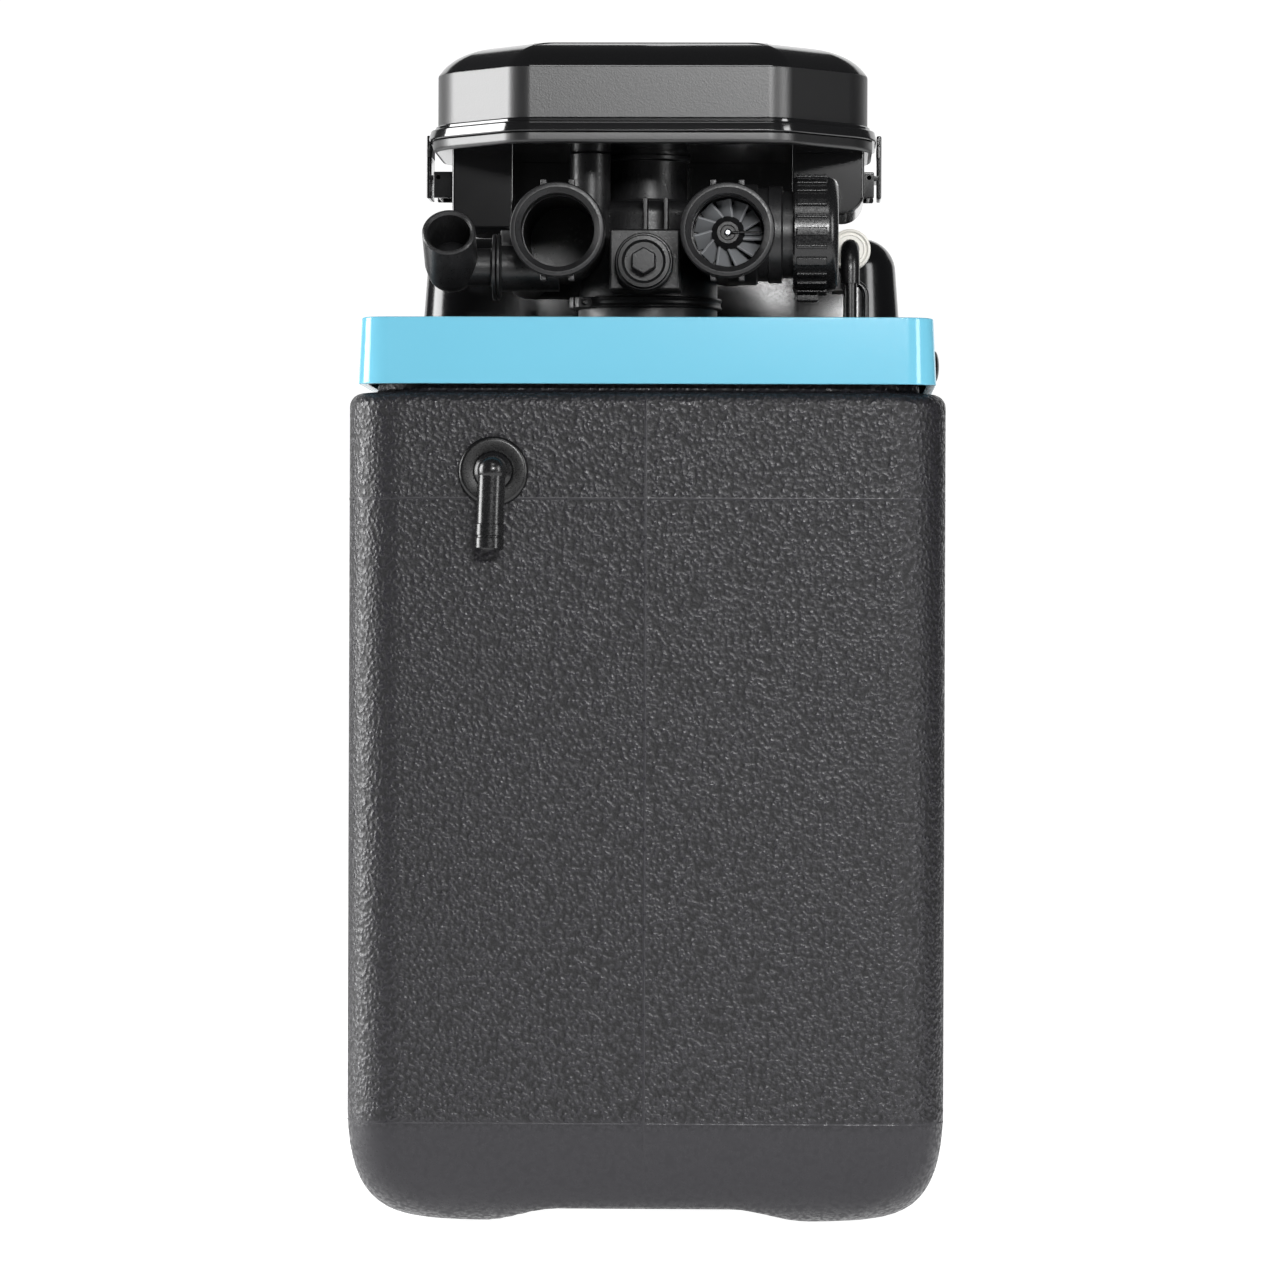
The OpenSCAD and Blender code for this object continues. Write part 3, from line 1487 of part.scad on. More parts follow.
module head_gasket() {
    color("#2c2c2e") at_head() translate([0, 0, rim_z - gasket_h]) linear_extrude(gasket_h) difference() {
        polygon(head_outline(gasket_w/2 - gasket_shift));
        polygon(head_outline(-gasket_w/2 - gasket_shift));
    }
}

// Cover levels as growth of the plan and height
function cover_levels(wall, base) = concat(
    [[-wall, base], [-wall, crown_z - wall]],
    [for (i = [0:round_steps])
        let (p = cubic([0.03, 0.1], [0.2, 0.6], [0.5, 0.95], [1, 1], i/round_steps))
        [-wall - p[0]*crown_inset, crown_z - wall + p[1]*crown_h]]
);

module cover_form(wall, base) {
    loft([for (p = cover_levels(wall, base)) [head_outline(p[0]), p[1]]]);
}

key_inset = 14;
key_y = head_d/2 - crown_inset - key_inset;
window_pitch = 26;
window_y = key_y - window_pitch;
key_head = 0.6;
key_flange = 1.5;
key_flange_t = 1.5;
key_flange_z = head_top - head_wall - loose_gap;
board_gap = 5;
board_t = 1.6;
board_z = key_flange_z - key_flange_t - board_gap - board_t;
board_w = 100;
board_d = 42;
board_front = 12;
board_y = key_y - board_d/2 + board_front;
post_inset = 5;
post_x = board_w/2 - post_inset;
post_y = board_d/2 - post_inset;
switch_r = 2;
switch_sunk = 0.1;

module at_posts() {
    for (sx = [-1, 1]) for (sy = [-1, 1]) translate([sx*post_x, board_y + sy*post_y, 0]) children();
}

post_r = 2.5;
window_t = 0.6*head_wall;
window_ledge = 3;

module head_cover() {
    color(black) at_head() difference() {
        union() {
            difference() {
                union() {
                    translate([0, 0, rim_z]) linear_extrude(cover_rim_h) polygon(head_outline(cover_rim_w));
                    cover_form(0, rim_z);
                }
                cover_form(head_wall, rim_z - eps);
            }
            at_posts() translate([0, 0, board_z + board_t])
                cylinder(r = post_r, h = head_top - head_wall/2 - board_z - board_t);
        }
        for (i = [-1:1]) translate([i*key_pitch, key_y, head_top - 2*head_wall])
            cylinder(r = key_d/2 + loose_gap, h = 3*head_wall);
        translate([-window_w/2, window_y - window_d/2, head_top - window_t])
            cube([window_w, window_d, head_wall]);
        translate([-window_w/2 + window_ledge, window_y - window_d/2 + window_ledge, head_top - 2*head_wall])
            cube([window_w - 2*window_ledge, window_d - 2*window_ledge, 3*head_wall]);
    }
}

module display_window() {
    color("#23303a") at_head() translate([0, window_y, head_top - window_t]) linear_extrude(window_t)
        square([window_w - 2*seat_gap, window_d - 2*seat_gap], center = true);
}

module key(i) {
    color("#3a3a3d") at_head() translate([i*key_pitch, key_y, key_flange_z - key_flange_t]) {
        cylinder(r = key_d/2 + key_flange, h = key_flange_t);
        cylinder(r = key_d/2, h = head_top + key_head - key_flange_z + key_flange_t);
    }
}

module circuit_board() {
    color("#1e5b3a") at_head() {
        translate([-board_w/2, board_y - board_d/2, board_z]) cube([board_w, board_d, board_t]);
        for (i = [-1:1]) translate([i*key_pitch, key_y, board_z + board_t - switch_sunk])
            cylinder(r = switch_r, h = board_gap - key_travel - loose_gap);
    }
}

latch_web_t = 2.4;
latch_web_in = 0.5;

module latch() {
    x0 = cover_half + latch_gap;
    translate([0, latch_y, 0]) difference() {
        union() {
            translate([x0, -latch_w/2, latch_foot]) cube([latch_t, latch_w, latch_h]);
            translate([latch_pin_x, 0, latch_pin_z]) along_y(latch_knuckle_r, -latch_w/2, latch_w/2);
            translate([latch_pin_x, -latch_w/2, latch_pin_z - latch_web_t/2])
                cube([x0 - latch_pin_x + latch_web_in, latch_w, latch_web_t]);
        }
        translate([latch_pin_x, 0, latch_pin_z]) along_y(latch_pin_r + running_fit, -latch_w, latch_w);
    }
}

module left_latch() {
    color(black) at_head() mirror([1, 0, 0]) latch();
}

module right_latch() {
    color(black) at_head() latch();
}

module latch_pins() {
    half = latch_w/2 + loose_gap + latch_lug_t;
    color(steel) at_head() for (s = [-1, 1]) translate([s*latch_pin_x, latch_y, latch_pin_z])
        along_y(latch_pin_r, -half, half);
}

// Drive
gear_gap = gear_module*(gear_teeth + pinion_teeth)/2;
shaft_r = 1.5;
shaft_l = 8;
gear_hub_wall = 3;
screw_head_t = 1.8;
screw_end = 1;
socket_size = [14, 16, 11];
socket_x = 20;
socket_inset = 26;
socket_hole_r = 3;
socket_hole_l = 10;

function tooth(teeth, i) = let (
    pitch_r = gear_module*teeth/2, root = pitch_r - 1.25*gear_module, tip = pitch_r + gear_module,
    a = 360*i/teeth, wide = 0.9*gear_module/root*57.3, narrow = 0.25*gear_module/tip*57.3
) [
    root*[cos(a - wide), sin(a - wide)], tip*[cos(a - narrow), sin(a - narrow)],
    tip*[cos(a + narrow), sin(a + narrow)], root*[cos(a + wide), sin(a + wide)]
];

module toothed_wheel(teeth, first) {
    linear_extrude(gear_w) polygon([for (i = [0:teeth - 1]) for (p = tooth(teeth, i + first)) p]);
}

module drive_gear() {
    hub_z = tray_h + head_wall + loose_gap;
    color("#d8d4c8") at_valve() difference() {
        union() {
            translate([0, 0, gear_z]) toothed_wheel(gear_teeth, 0);
            translate([0, 0, hub_z]) cylinder(r = rod_r + gear_hub_wall, h = gear_z - hub_z + eps);
        }
        translate([0, 0, hub_z - eps]) cylinder(r = rod_r + running_fit, h = gear_z);
    }
}

module at_motor() {
    at_valve() translate([gear_gap, 0, 0]) children();
}

module motor_pinion() {
    color(steel) at_motor() {
        translate([0, 0, gear_z]) rotate(180) toothed_wheel(pinion_teeth, 0.5);
        translate([0, 0, tray_h + head_wall + motor_h - shaft_l + loose_gap])
            cylinder(r = shaft_r, h = shaft_l + gear_lift);
    }
}

module drive_motor() {
    color("#3a3a3d") at_motor() translate([0, 0, tray_h + head_wall]) difference() {
        cylinder(r = motor_r, h = motor_h);
        translate([0, 0, motor_h - shaft_l]) cylinder(r = shaft_r + running_fit, h = shaft_l + eps);
    }
}

module tray_screws() {
    color(steel) at_valve() at_screws() {
        cylinder(r = 2*screw_r, h = screw_head_t);
        translate([0, 0, -screw_l + screw_end]) cylinder(r = screw_r, h = screw_l);
    }
}

module power_socket() {
    color(black) at_head() translate([socket_x, head_d/2 - socket_inset, tray_z - socket_size[2]])
        difference() {
            cube(socket_size);
            translate([socket_size[0]/2, 0, socket_size[2]/2])
                along_y(socket_hole_r, socket_size[1] - socket_hole_l, socket_size[1] + eps);
        }
}

cabinet();
collar();
collar_plugs();
deck();
salt_lid();
lid_hinge_pins();
overflow_grommet();
overflow_elbow();
resin_tank();
tank_base();
resin_bed();
riser_tube();
lower_basket();
upper_basket();
neck_seal();
neck_clamp();
brine_well();
brine_well_cap();
float();
float_rod();
brine_valve();
brine_tube();
brine_fitting();
brine_nut();
sensor_lead();
valve_body();
seal_stack();
piston();
piston_rod();
turbine();
turbine_pin();
turbine_cage();
injector();
injector_seal();
injector_nut();
drain_elbow();
drain_seal();
drain_clip();
drain_flow_disc();
service_plug();
plug_seal();
head_tray();
head_gasket();
head_cover();
left_latch();
right_latch();
latch_pins();
circuit_board();
display_window();
key(-1);  // key_1
key(0);  // key_2
key(1);  // key_3
drive_motor();
motor_pinion();
drive_gear();
tray_screws();
power_socket();
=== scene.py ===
"""Looks of the cabinet water softener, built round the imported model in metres."""
import json
import math

import bmesh
import bpy
from mathutils import Matrix, Vector


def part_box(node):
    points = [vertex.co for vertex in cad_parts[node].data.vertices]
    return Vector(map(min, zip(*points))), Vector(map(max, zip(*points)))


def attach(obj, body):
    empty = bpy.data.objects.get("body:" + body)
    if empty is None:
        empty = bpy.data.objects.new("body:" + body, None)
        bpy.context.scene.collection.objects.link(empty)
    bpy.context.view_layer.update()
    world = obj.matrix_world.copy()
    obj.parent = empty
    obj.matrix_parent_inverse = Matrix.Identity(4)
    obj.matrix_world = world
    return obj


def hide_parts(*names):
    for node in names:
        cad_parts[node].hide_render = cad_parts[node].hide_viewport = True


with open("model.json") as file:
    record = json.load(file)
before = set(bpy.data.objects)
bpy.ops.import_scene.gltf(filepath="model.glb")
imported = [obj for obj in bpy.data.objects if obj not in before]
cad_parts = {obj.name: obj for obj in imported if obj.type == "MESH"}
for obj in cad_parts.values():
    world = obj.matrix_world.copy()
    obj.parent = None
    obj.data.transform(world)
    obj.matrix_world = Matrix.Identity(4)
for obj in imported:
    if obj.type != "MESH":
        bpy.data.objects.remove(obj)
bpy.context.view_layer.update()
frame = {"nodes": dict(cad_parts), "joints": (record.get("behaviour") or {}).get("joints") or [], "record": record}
scene = bpy.context.scene

MM = 0.001
X_AXIS = Vector((1, 0, 0))
Y_AXIS = Vector((0, 1, 0))
Z_AXIS = Vector((0, 0, 1))
joint = {j["name"]: j for j in frame["joints"]}

# Camera: level with the middle of the cabinet, behind it and a little to the right
IMAGE_W = 1280
FOCAL_PIXELS = 6270
SENSOR_W = 36
EYE_H = 253.5*MM
EYE_BACK = 2.7
EYE_TURN = math.radians(1.6)
EYE_ROLL = math.radians(0.2)
AIM_X = -2.2*MM
rear_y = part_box("cabinet")[0].y

lens = bpy.data.cameras.new("camera")
lens.sensor_width = SENSOR_W
lens.lens = SENSOR_W*FOCAL_PIXELS/IMAGE_W
camera = bpy.data.objects.new("camera", lens)
scene.collection.objects.link(camera)
camera.matrix_world = (
    Matrix.Translation((AIM_X + EYE_BACK*math.sin(EYE_TURN), rear_y - EYE_BACK*math.cos(EYE_TURN), EYE_H))
    @ Matrix.Rotation(EYE_TURN, 4, "Z")
    @ Matrix.Rotation(math.pi/2, 4, "X")
    @ Matrix.Rotation(EYE_ROLL, 4, "Z")
)
scene.camera = camera


# Mesh tools

def at(x, y, z, axis=None):
    """Place at a point in mm, with its Z turned to an axis."""
    turn_to = Matrix.Identity(4)
    if axis is not None:
        turn_to = Vector(axis).to_track_quat("Z", "Y").to_matrix().to_4x4()
    return Matrix.Translation(Vector((x, y, z))*MM) @ turn_to


def on_joint(name, axis):
    """Place on a joint of the frame, with its Z turned to an axis."""
    spot = Vector(joint[name]["pos_m"])/MM
    return at(*spot, axis)


def arc(cx, cy, r, start, stop, steps=6):
    """Points of an arc, with its angles in degrees."""
    angles = [math.radians(start + (stop - start)*i/steps) for i in range(steps + 1)]
    return [(cx + r*math.cos(a), cy + r*math.sin(a)) for a in angles]


def cubic(a, b, c, d, t):
    """Point on a cubic curve."""
    u = 1 - t
    return tuple(a[k]*u**3 + 3*b[k]*t*u*u + 3*c[k]*t*t*u + d[k]*t**3 for k in (0, 1))


def soften(part, width, steps=3, limit=28):
    """Rounds the edges of a part that are sharper than the limit."""
    sharp = [e for e in part.edges if e.is_manifold and e.calc_face_angle(0) > math.radians(limit)]
    bmesh.ops.bevel(part, geom=sharp, offset=width*MM, offset_type="OFFSET", segments=steps, profile=0.5,
                    affect="EDGES", material=-1, clamp_overlap=True)


def put(piece, part, place=Matrix.Identity(4)):
    """Moves a finished part to its place and adds it to a piece."""
    bmesh.ops.remove_doubles(part, verts=part.verts, dist=0.002*MM)
    bmesh.ops.recalc_face_normals(part, faces=part.faces)
    part.transform(place)
    mesh = bpy.data.meshes.new("part")
    part.to_mesh(mesh)
    part.free()
    piece.from_mesh(mesh)
    bpy.data.meshes.remove(mesh)


def turned(piece, profile, place, soft=0.0, steps=72):
    """Adds a solid of revolution, whose profile is radius and height in mm about Z."""
    part = bmesh.new()
    dots = [part.verts.new((r*MM, 0, h*MM)) for r, h in profile]
    pairs = list(zip(dots, dots[1:]))
    if profile[0][0] or profile[-1][0]:
        pairs.append((dots[-1], dots[0]))
    lines = [part.edges.new(pair) for pair in pairs]
    bmesh.ops.spin(part, geom=dots + lines, cent=(0, 0, 0), axis=Z_AXIS, angle=math.tau, steps=steps,
                   use_merge=True)
    bmesh.ops.remove_doubles(part, verts=part.verts, dist=0.002*MM)
    bmesh.ops.dissolve_degenerate(part, edges=part.edges, dist=0.002*MM)
    bmesh.ops.recalc_face_normals(part, faces=part.faces)
    if soft:
        soften(part, soft)
    put(piece, part, place)


def rod(piece, r, start, stop, place, soft=0.4, steps=64):
    """Adds a round bar along the Z of its place."""
    turned(piece, [(0, start), (r, start), (r, stop), (0, stop)], place, soft, steps)


def block(piece, low, high, soft=0.5, place=Matrix.Identity(4)):
    """Adds a box with rounded edges between two corners in mm."""
    part = bmesh.new()
    bmesh.ops.create_cube(part, size=1)
    low = Vector(low)
    high = Vector(high)
    bmesh.ops.scale(part, vec=(high - low)*MM, verts=part.verts)
    bmesh.ops.translate(part, vec=(high + low)/2*MM, verts=part.verts)
    if soft:
        soften(part, soft)
    put(piece, part, place)


def plan(part, corners, radii, steps=10):
    """Makes a flat outline with a radius at each corner and returns its ring of vertices."""
    dots = [part.verts.new((x*MM, y*MM, 0)) for x, y in corners]
    part.faces.new(dots)
    for dot, r in zip(dots, radii):
        one, two = [(e.other_vert(dot).co - dot.co).normalized() for e in dot.link_edges]
        reach = r/math.tan(one.angle(two)/2)
        bmesh.ops.bevel(part, geom=[dot], offset=reach*MM, offset_type="OFFSET", segments=steps, profile=0.5,
                        affect="VERTICES", material=-1, clamp_overlap=False)
    part.faces.ensure_lookup_table()
    face = part.faces[0]
    ring = list(face.verts)
    bmesh.ops.delete(part, geom=[face], context="FACES_ONLY")
    return ring


def box_corners(w, d):
    """Corners of a rectangle about the origin."""
    return [(-w/2, -d/2), (w/2, -d/2), (w/2, d/2), (-w/2, d/2)]


def outward(ring):
    """Direction in which each vertex of a ring moves when the outline grows."""
    ways = []
    for before, dot, after in zip(ring[-1:] + ring[:-1], ring, ring[1:] + ring[:1]):
        one = (dot.co - before.co).normalized()
        two = (after.co - dot.co).normalized()
        way = Vector((one.y + two.y, -one.x - two.x, 0)).normalized()
        ways.append(way/max(0.5, way.dot(Vector((one.y, -one.x, 0)))))
    return ways


def squared(ring, w, d, r):
    """Directions that keep the corner radius of a rounded rectangle as it grows."""
    a = (w/2 - r)*MM
    b = (d/2 - r)*MM
    return [Vector((max(-1, min(1, v.co.x/a)), max(-1, min(1, v.co.y/b)), 0)) for v in ring]


def loop_edges(part, ring):
    return [part.edges.get(pair) for pair in zip(ring, ring[1:] + ring[:1])]


def draw(part, ring, ways, levels):
    """Draws a ring through levels of growth and height in mm and returns the last ring."""
    base = [v.co.copy() for v in ring]
    for i, (growth, height) in enumerate(levels):
        if i:
            made = bmesh.ops.extrude_edge_only(part, edges=loop_edges(part, ring))["geom"]
            fresh = {v for v in made if isinstance(v, bmesh.types.BMVert)}
            ring = [next(e.other_vert(v) for e in v.link_edges if e.other_vert(v) in fresh) for v in ring]
        for v, home, way in zip(ring, base, ways):
            v.co = home + way*growth*MM
            v.co.z = height*MM
    return ring


def moulding(corners, radii, levels, ends="caps", steps=10):
    """Shell drawn round an outline: its ends are capped, or its profile is closed on itself."""
    part = bmesh.new()
    first = plan(part, corners, radii, steps)
    last = draw(part, first, outward(first), levels)
    if ends == "caps":
        part.faces.new(first)
        part.faces.new(last)
    else:
        bmesh.ops.bridge_loops(part, edges=loop_edges(part, first) + loop_edges(part, last))
    return part


def hose(piece, points, r, bend, steps=24):
    """Adds a round tube along straight runs in mm with round bends between them."""
    curve = bpy.data.curves.new("hose", "CURVE")
    curve.dimensions = "3D"
    curve.bevel_depth = r*MM
    curve.bevel_resolution = steps//4
    curve.use_fill_caps = True
    path = [Vector(points[0])]
    for before, corner, after in zip(points, points[1:], points[2:]):
        corner = Vector(corner)
        one = (Vector(before) - corner).normalized()
        two = (Vector(after) - corner).normalized()
        reach = bend/math.tan(one.angle(two)/2)
        middle = corner + (one + two).normalized()*math.hypot(reach, bend)
        start = corner + one*reach - middle
        stop = corner + two*reach - middle
        swing = start.rotation_difference(stop)
        for i in range(steps//2 + 1):
            spin = Matrix.Rotation(swing.angle*2*i/steps, 3, swing.axis)
            path.append(middle + spin @ start)
    path.append(Vector(points[-1]))
    spline = curve.splines.new("POLY")
    spline.points.add(len(path) - 1)
    for dot, spot in zip(spline.points, path):
        dot.co = (*(spot*MM), 1)
    holder = bpy.data.objects.new("hose", curve)
    mesh = bpy.data.meshes.new_from_object(holder)
    part = bmesh.new()
    part.from_mesh(mesh)
    put(piece, part)
    bpy.data.objects.remove(holder)
    bpy.data.curves.remove(curve)
    bpy.data.meshes.remove(mesh)


def boolean(piece, tool, operation):
    """Cuts a tool out of a piece, or joins it on, and returns the piece."""
    holders = []
    for part in (piece, tool):
        mesh = bpy.data.meshes.new("holder")
        part.to_mesh(mesh)
        part.free()
        holder = bpy.data.objects.new("holder", mesh)
        scene.collection.objects.link(holder)
        holders.append(holder)
    change = holders[0].modifiers.new("change", "BOOLEAN")
    change.operation = operation
    change.solver = "EXACT"
    change.use_self = True
    change.object = holders[1]
    bpy.context.view_layer.update()
    result = holders[0].evaluated_get(bpy.context.evaluated_depsgraph_get())
    piece = bmesh.new()
    piece.from_mesh(result.to_mesh())
    result.to_mesh_clear()
    for holder in holders:
        mesh = holder.data
        bpy.data.objects.remove(holder)
        bpy.data.meshes.remove(mesh)
    bmesh.ops.remove_doubles(piece, verts=piece.verts, dist=0.002*MM)
    return piece


def make(name, piece, material, body, slot, *nodes, angle=32):
    """Makes a finished mesh a piece of the softener, in place of the nodes it stands for."""
    mesh = bpy.data.meshes.new(name)
    piece.to_mesh(mesh)
    piece.free()
    mesh.shade_smooth()
    mesh.set_sharp_from_angle(angle=math.radians(angle))
    mesh.materials.append(material)
    thing = bpy.data.objects.new(name, mesh)
    scene.collection.objects.link(thing)
    flats = thing.modifiers.new("flats", "WEIGHTED_NORMAL")
    flats.keep_sharp = True
    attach(thing, body)
    if nodes:
        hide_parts(*nodes)
    return thing


# Materials

PEBBLE = 1.8
PLAIN_Z = 44.9*MM
MOULD_LINES = [("X", 0.0), ("Z", PLAIN_Z), ("Z", 314.4*MM)]
LINE_HALF = 0.6*MM
tray_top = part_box("head_tray")[1].z/MM
HEAD_BANDS = [(tray_top - 5, tray_top - 0.3), (tray_top + 6.5, tray_top + 28.6)]


def linear(code):
    """Linear colour of an sRGB hex value."""
    parts = [int(code[i:i + 2], 16)/255 for i in (1, 3, 5)]
    return (*[c/12.92 if c <= 0.04045 else ((c + 0.055)/1.055)**2.4 for c in parts], 1)


def add(tree, kind, links=None, **settings):
    """Adds a node with its settings, and links or sets its inputs."""
    made = tree.nodes.new(kind)
    for key, value in settings.items():
        setattr(made, key, value)
    for key, value in (links or {}).items():
        if isinstance(value, bpy.types.NodeSocket):
            tree.links.new(value, made.inputs[key])
        else:
            made.inputs[key].default_value = value
    return made


def mix(tree, factor, one, two):
    """Blend of two hex colours by a factor."""
    blend = add(tree, "ShaderNodeMix", {0: factor, 6: linear(one), 7: linear(two)}, data_type="RGBA")
    return blend.outputs[2]


def per_mm(size):
    """Texture scale whose pattern repeats at a real size in mm."""
    return 1/(size*MM)


def start(name):
    """New material with its tree, its shader and the piece's own coordinates."""
    material = bpy.data.materials.new(name)
    material.use_nodes = True
    tree = material.node_tree
    shader = tree.nodes["Principled BSDF"]
    return material, tree, shader, add(tree, "ShaderNodeTexCoord").outputs["Object"]


def moulded(name, dark, light, rough, grain, depth, blotch=40, ior=1.5, spread=0.06, coat=0.0):
    """Moulded plastic: two close tones in soft blotches, uneven gloss and a fine grain of its tool."""
    material, tree, shader, place = start(name)
    cloud = add(tree, "ShaderNodeTexNoise", {"Vector": place, "Scale": per_mm(blotch), "Detail": 4.0})
    tone = mix(tree, cloud.outputs["Fac"], dark, light)
    fine = add(tree, "ShaderNodeTexNoise", {"Vector": place, "Scale": per_mm(grain), "Detail": 3.0})
    gloss = add(tree, "ShaderNodeMapRange", {"Value": fine.outputs["Fac"], "From Min": 0.3, "From Max": 0.7,
                                             "To Min": rough - spread, "To Max": rough + spread})
    bump = add(tree, "ShaderNodeBump", {"Height": fine.outputs["Fac"], "Distance": depth*MM, "Strength": 1.0})
    tree.links.new(tone, shader.inputs["Base Color"])
    tree.links.new(gloss.outputs["Result"], shader.inputs["Roughness"])
    tree.links.new(bump.outputs["Normal"], shader.inputs["Normal"])
    shader.inputs["IOR"].default_value = ior
    shader.inputs["Coat Weight"].default_value = coat
    return material


def turned_metal(name, tone, rough, line):
    """Turned or drawn steel: fine lines across the light and a little stain."""
    material, tree, shader, place = start(name)
    lines = add(tree, "ShaderNodeTexNoise", {"Vector": place, "Scale": per_mm(line), "Detail": 2.0})
    gloss = add(tree, "ShaderNodeMapRange", {"Value": lines.outputs["Fac"], "To Min": rough - 0.08,
                                             "To Max": rough + 0.1})
    stain = add(tree, "ShaderNodeTexNoise", {"Vector": place, "Scale": per_mm(12), "Detail": 3.0})
    tree.links.new(mix(tree, stain.outputs["Fac"], tone, "#8d9094"), shader.inputs["Base Color"])
    tree.links.new(gloss.outputs["Result"], shader.inputs["Roughness"])
    shader.inputs["Metallic"].default_value = 1.0
    return material


def grained_polyethylene():
    """Blow-moulded polyethylene: a pebbled leather grain, with painted glints on its crowns and painted shade in
    its pits, that fades into a plain foot.
    """
    material, tree, shader, place = start("grained_polyethylene")
    sway = add(tree, "ShaderNodeTexNoise", {"Vector": place, "Scale": per_mm(3.5), "Detail": 3.0})
    shift = add(tree, "ShaderNodeVectorMath", {0: sway.outputs["Color"], "Scale": 1.2*MM}, operation="SCALE")
    moved = add(tree, "ShaderNodeVectorMath", {0: place, 1: shift.outputs["Vector"]}, operation="ADD")
    cells = add(tree, "ShaderNodeTexVoronoi", {"Vector": moved.outputs["Vector"], "Scale": per_mm(PEBBLE)},
                feature="SMOOTH_F1")
    crown = add(tree, "ShaderNodeMapRange", {"Value": cells.outputs["Distance"], "From Min": 0.75, "From Max": 0.1},
                interpolation_type="SMOOTHSTEP")
    fine = add(tree, "ShaderNodeTexNoise", {"Vector": moved.outputs["Vector"], "Scale": per_mm(1.1), "Detail": 3.0})
    both = add(tree, "ShaderNodeMath", {0: crown.outputs["Result"], 1: fine.outputs["Fac"]}, operation="ADD")
    height = add(tree, "ShaderNodeSeparateXYZ", {"Vector": place})
    grained = add(tree, "ShaderNodeMapRange", {"Value": height.outputs["Z"], "From Min": PLAIN_Z - 4*MM,
                                               "From Max": PLAIN_Z + 3*MM, "To Min": 0.08})
    plain = None
    for way, spot in MOULD_LINES:
        line = add(tree, "ShaderNodeMath", {0: height.outputs[way], 1: spot, 2: LINE_HALF}, operation="COMPARE")
        if plain:
            line = add(tree, "ShaderNodeMath", {0: line.outputs["Value"], 1: plain}, operation="MAXIMUM")
        plain = line.outputs["Value"]
    pressed = add(tree, "ShaderNodeMath", {0: grained.outputs["Result"], 1: plain}, operation="SUBTRACT",
                  use_clamp=True)
    relief = add(tree, "ShaderNodeMath", {0: both.outputs["Value"], 1: pressed.outputs["Value"]},
                 operation="MULTIPLY")
    bump = add(tree, "ShaderNodeBump", {"Height": relief.outputs["Value"], "Distance": 0.26*MM, "Strength": 1.0})
    # Painted glints and painted shade: the base colour is lighter on the pebble crowns, standing for light caught
    # there, and darker in the pits, standing for shade in them.
    crown_glint_paint = add(tree, "ShaderNodeMapRange", {"Value": both.outputs["Value"], "From Min": 0.6, "From Max": 1.5})
    grain = add(tree, "ShaderNodeMix", {0: crown_glint_paint.outputs["Result"], 6: linear("#070609"), 7: linear("#29282c")},
                data_type="RGBA")
    tone = add(tree, "ShaderNodeMix", {0: pressed.outputs["Value"], 6: linear("#252428"), 7: grain.outputs[2]},
               data_type="RGBA")
    gloss = add(tree, "ShaderNodeMapRange", {"Value": both.outputs["Value"], "From Min": 0.5, "From Max": 1.5,
                                             "To Min": 0.6, "To Max": 0.24})
    tree.links.new(tone.outputs[2], shader.inputs["Base Color"])
    tree.links.new(gloss.outputs["Result"], shader.inputs["Roughness"])
    tree.links.new(bump.outputs["Normal"], shader.inputs["Normal"])
    shader.inputs["IOR"].default_value = 1.51
    shader.inputs["Specular IOR Level"].default_value = 0.4
    return material


def banded_abs(name, bands):
    """Black ABS: polished all over, but for bands of spark-eroded texture between two heights in mm."""
    material, tree, shader, place = start(name)
    height = add(tree, "ShaderNodeSeparateXYZ", {"Vector": place}).outputs["Z"]
    rough = None
    for low, high in bands:
        band = add(tree, "ShaderNodeMath", {0: height, 1: (low + high)/2*MM, 2: (high - low)/2*MM},
                   operation="COMPARE")
        if rough:
            band = add(tree, "ShaderNodeMath", {0: band.outputs["Value"], 1: rough}, operation="MAXIMUM")
        rough = band.outputs["Value"]
    pits = add(tree, "ShaderNodeTexNoise", {"Vector": place, "Scale": per_mm(0.8), "Detail": 3.0})
    relief = add(tree, "ShaderNodeMath", {0: pits.outputs["Fac"], 1: rough}, operation="MULTIPLY")
    bump = add(tree, "ShaderNodeBump", {"Height": relief.outputs["Value"], "Distance": 0.05*MM, "Strength": 1.0})
    gloss = add(tree, "ShaderNodeMapRange", {"Value": rough, "To Min": 0.13, "To Max": 0.4})
    tree.links.new(mix(tree, pits.outputs["Fac"], "#0c0c0d", "#171718"), shader.inputs["Base Color"])
    tree.links.new(gloss.outputs["Result"], shader.inputs["Roughness"])
    tree.links.new(bump.outputs["Normal"], shader.inputs["Normal"])
    shader.inputs["IOR"].default_value = 1.7
    return material


cabinet_plastic = grained_polyethylene()
collar_plastic = moulded("gloss_polypropylene_blue", "#69b2ca", "#6eb7cf", 0.12, 0.9, 0.002, 60, spread=0.02)
lid_plastic = moulded("polished_abs_black", "#08080a", "#0c0c0d", 0.17, 1.2, 0.003, 50, spread=0.03)
head_plastic = banded_abs("textured_abs_black", HEAD_BANDS)
valve_plastic = moulded("glass_filled_nylon_black", "#141415", "#252526", 0.38, 0.8, 0.04, 7, spread=0.12)
fitting_plastic = moulded("polished_nylon_black", "#0e0e0f", "#19191a", 0.25, 0.8, 0.015, 9, spread=0.08)
seal_rubber = moulded("nitrile_rubber", "#080809", "#0d0d0e", 0.3, 0.6, 0.008, 20)
white_acetal = moulded("white_acetal", "#dddbd3", "#e9e7e0", 0.35, 0.6, 0.008, 25, 1.48)
turbine_plastic = moulded("grey_acetal", "#85878a", "#95979a", 0.4, 0.5, 0.008, 12, 1.48)
tank_shell = moulded("wound_glass_fibre", "#1b1b1c", "#252526", 0.42, 4.0, 0.12, 30)
resin_beads = moulded("ion_exchange_beads", "#8a5a1c", "#c08a3c", 0.3, 0.9, 0.25, 6)
motor_paint = moulded("black_lacquer", "#2b2b2d", "#343437", 0.35, 0.8, 0.01, 20)
board_mask = moulded("green_solder_mask", "#0f4a2c", "#17603a", 0.28, 0.5, 0.006, 8)
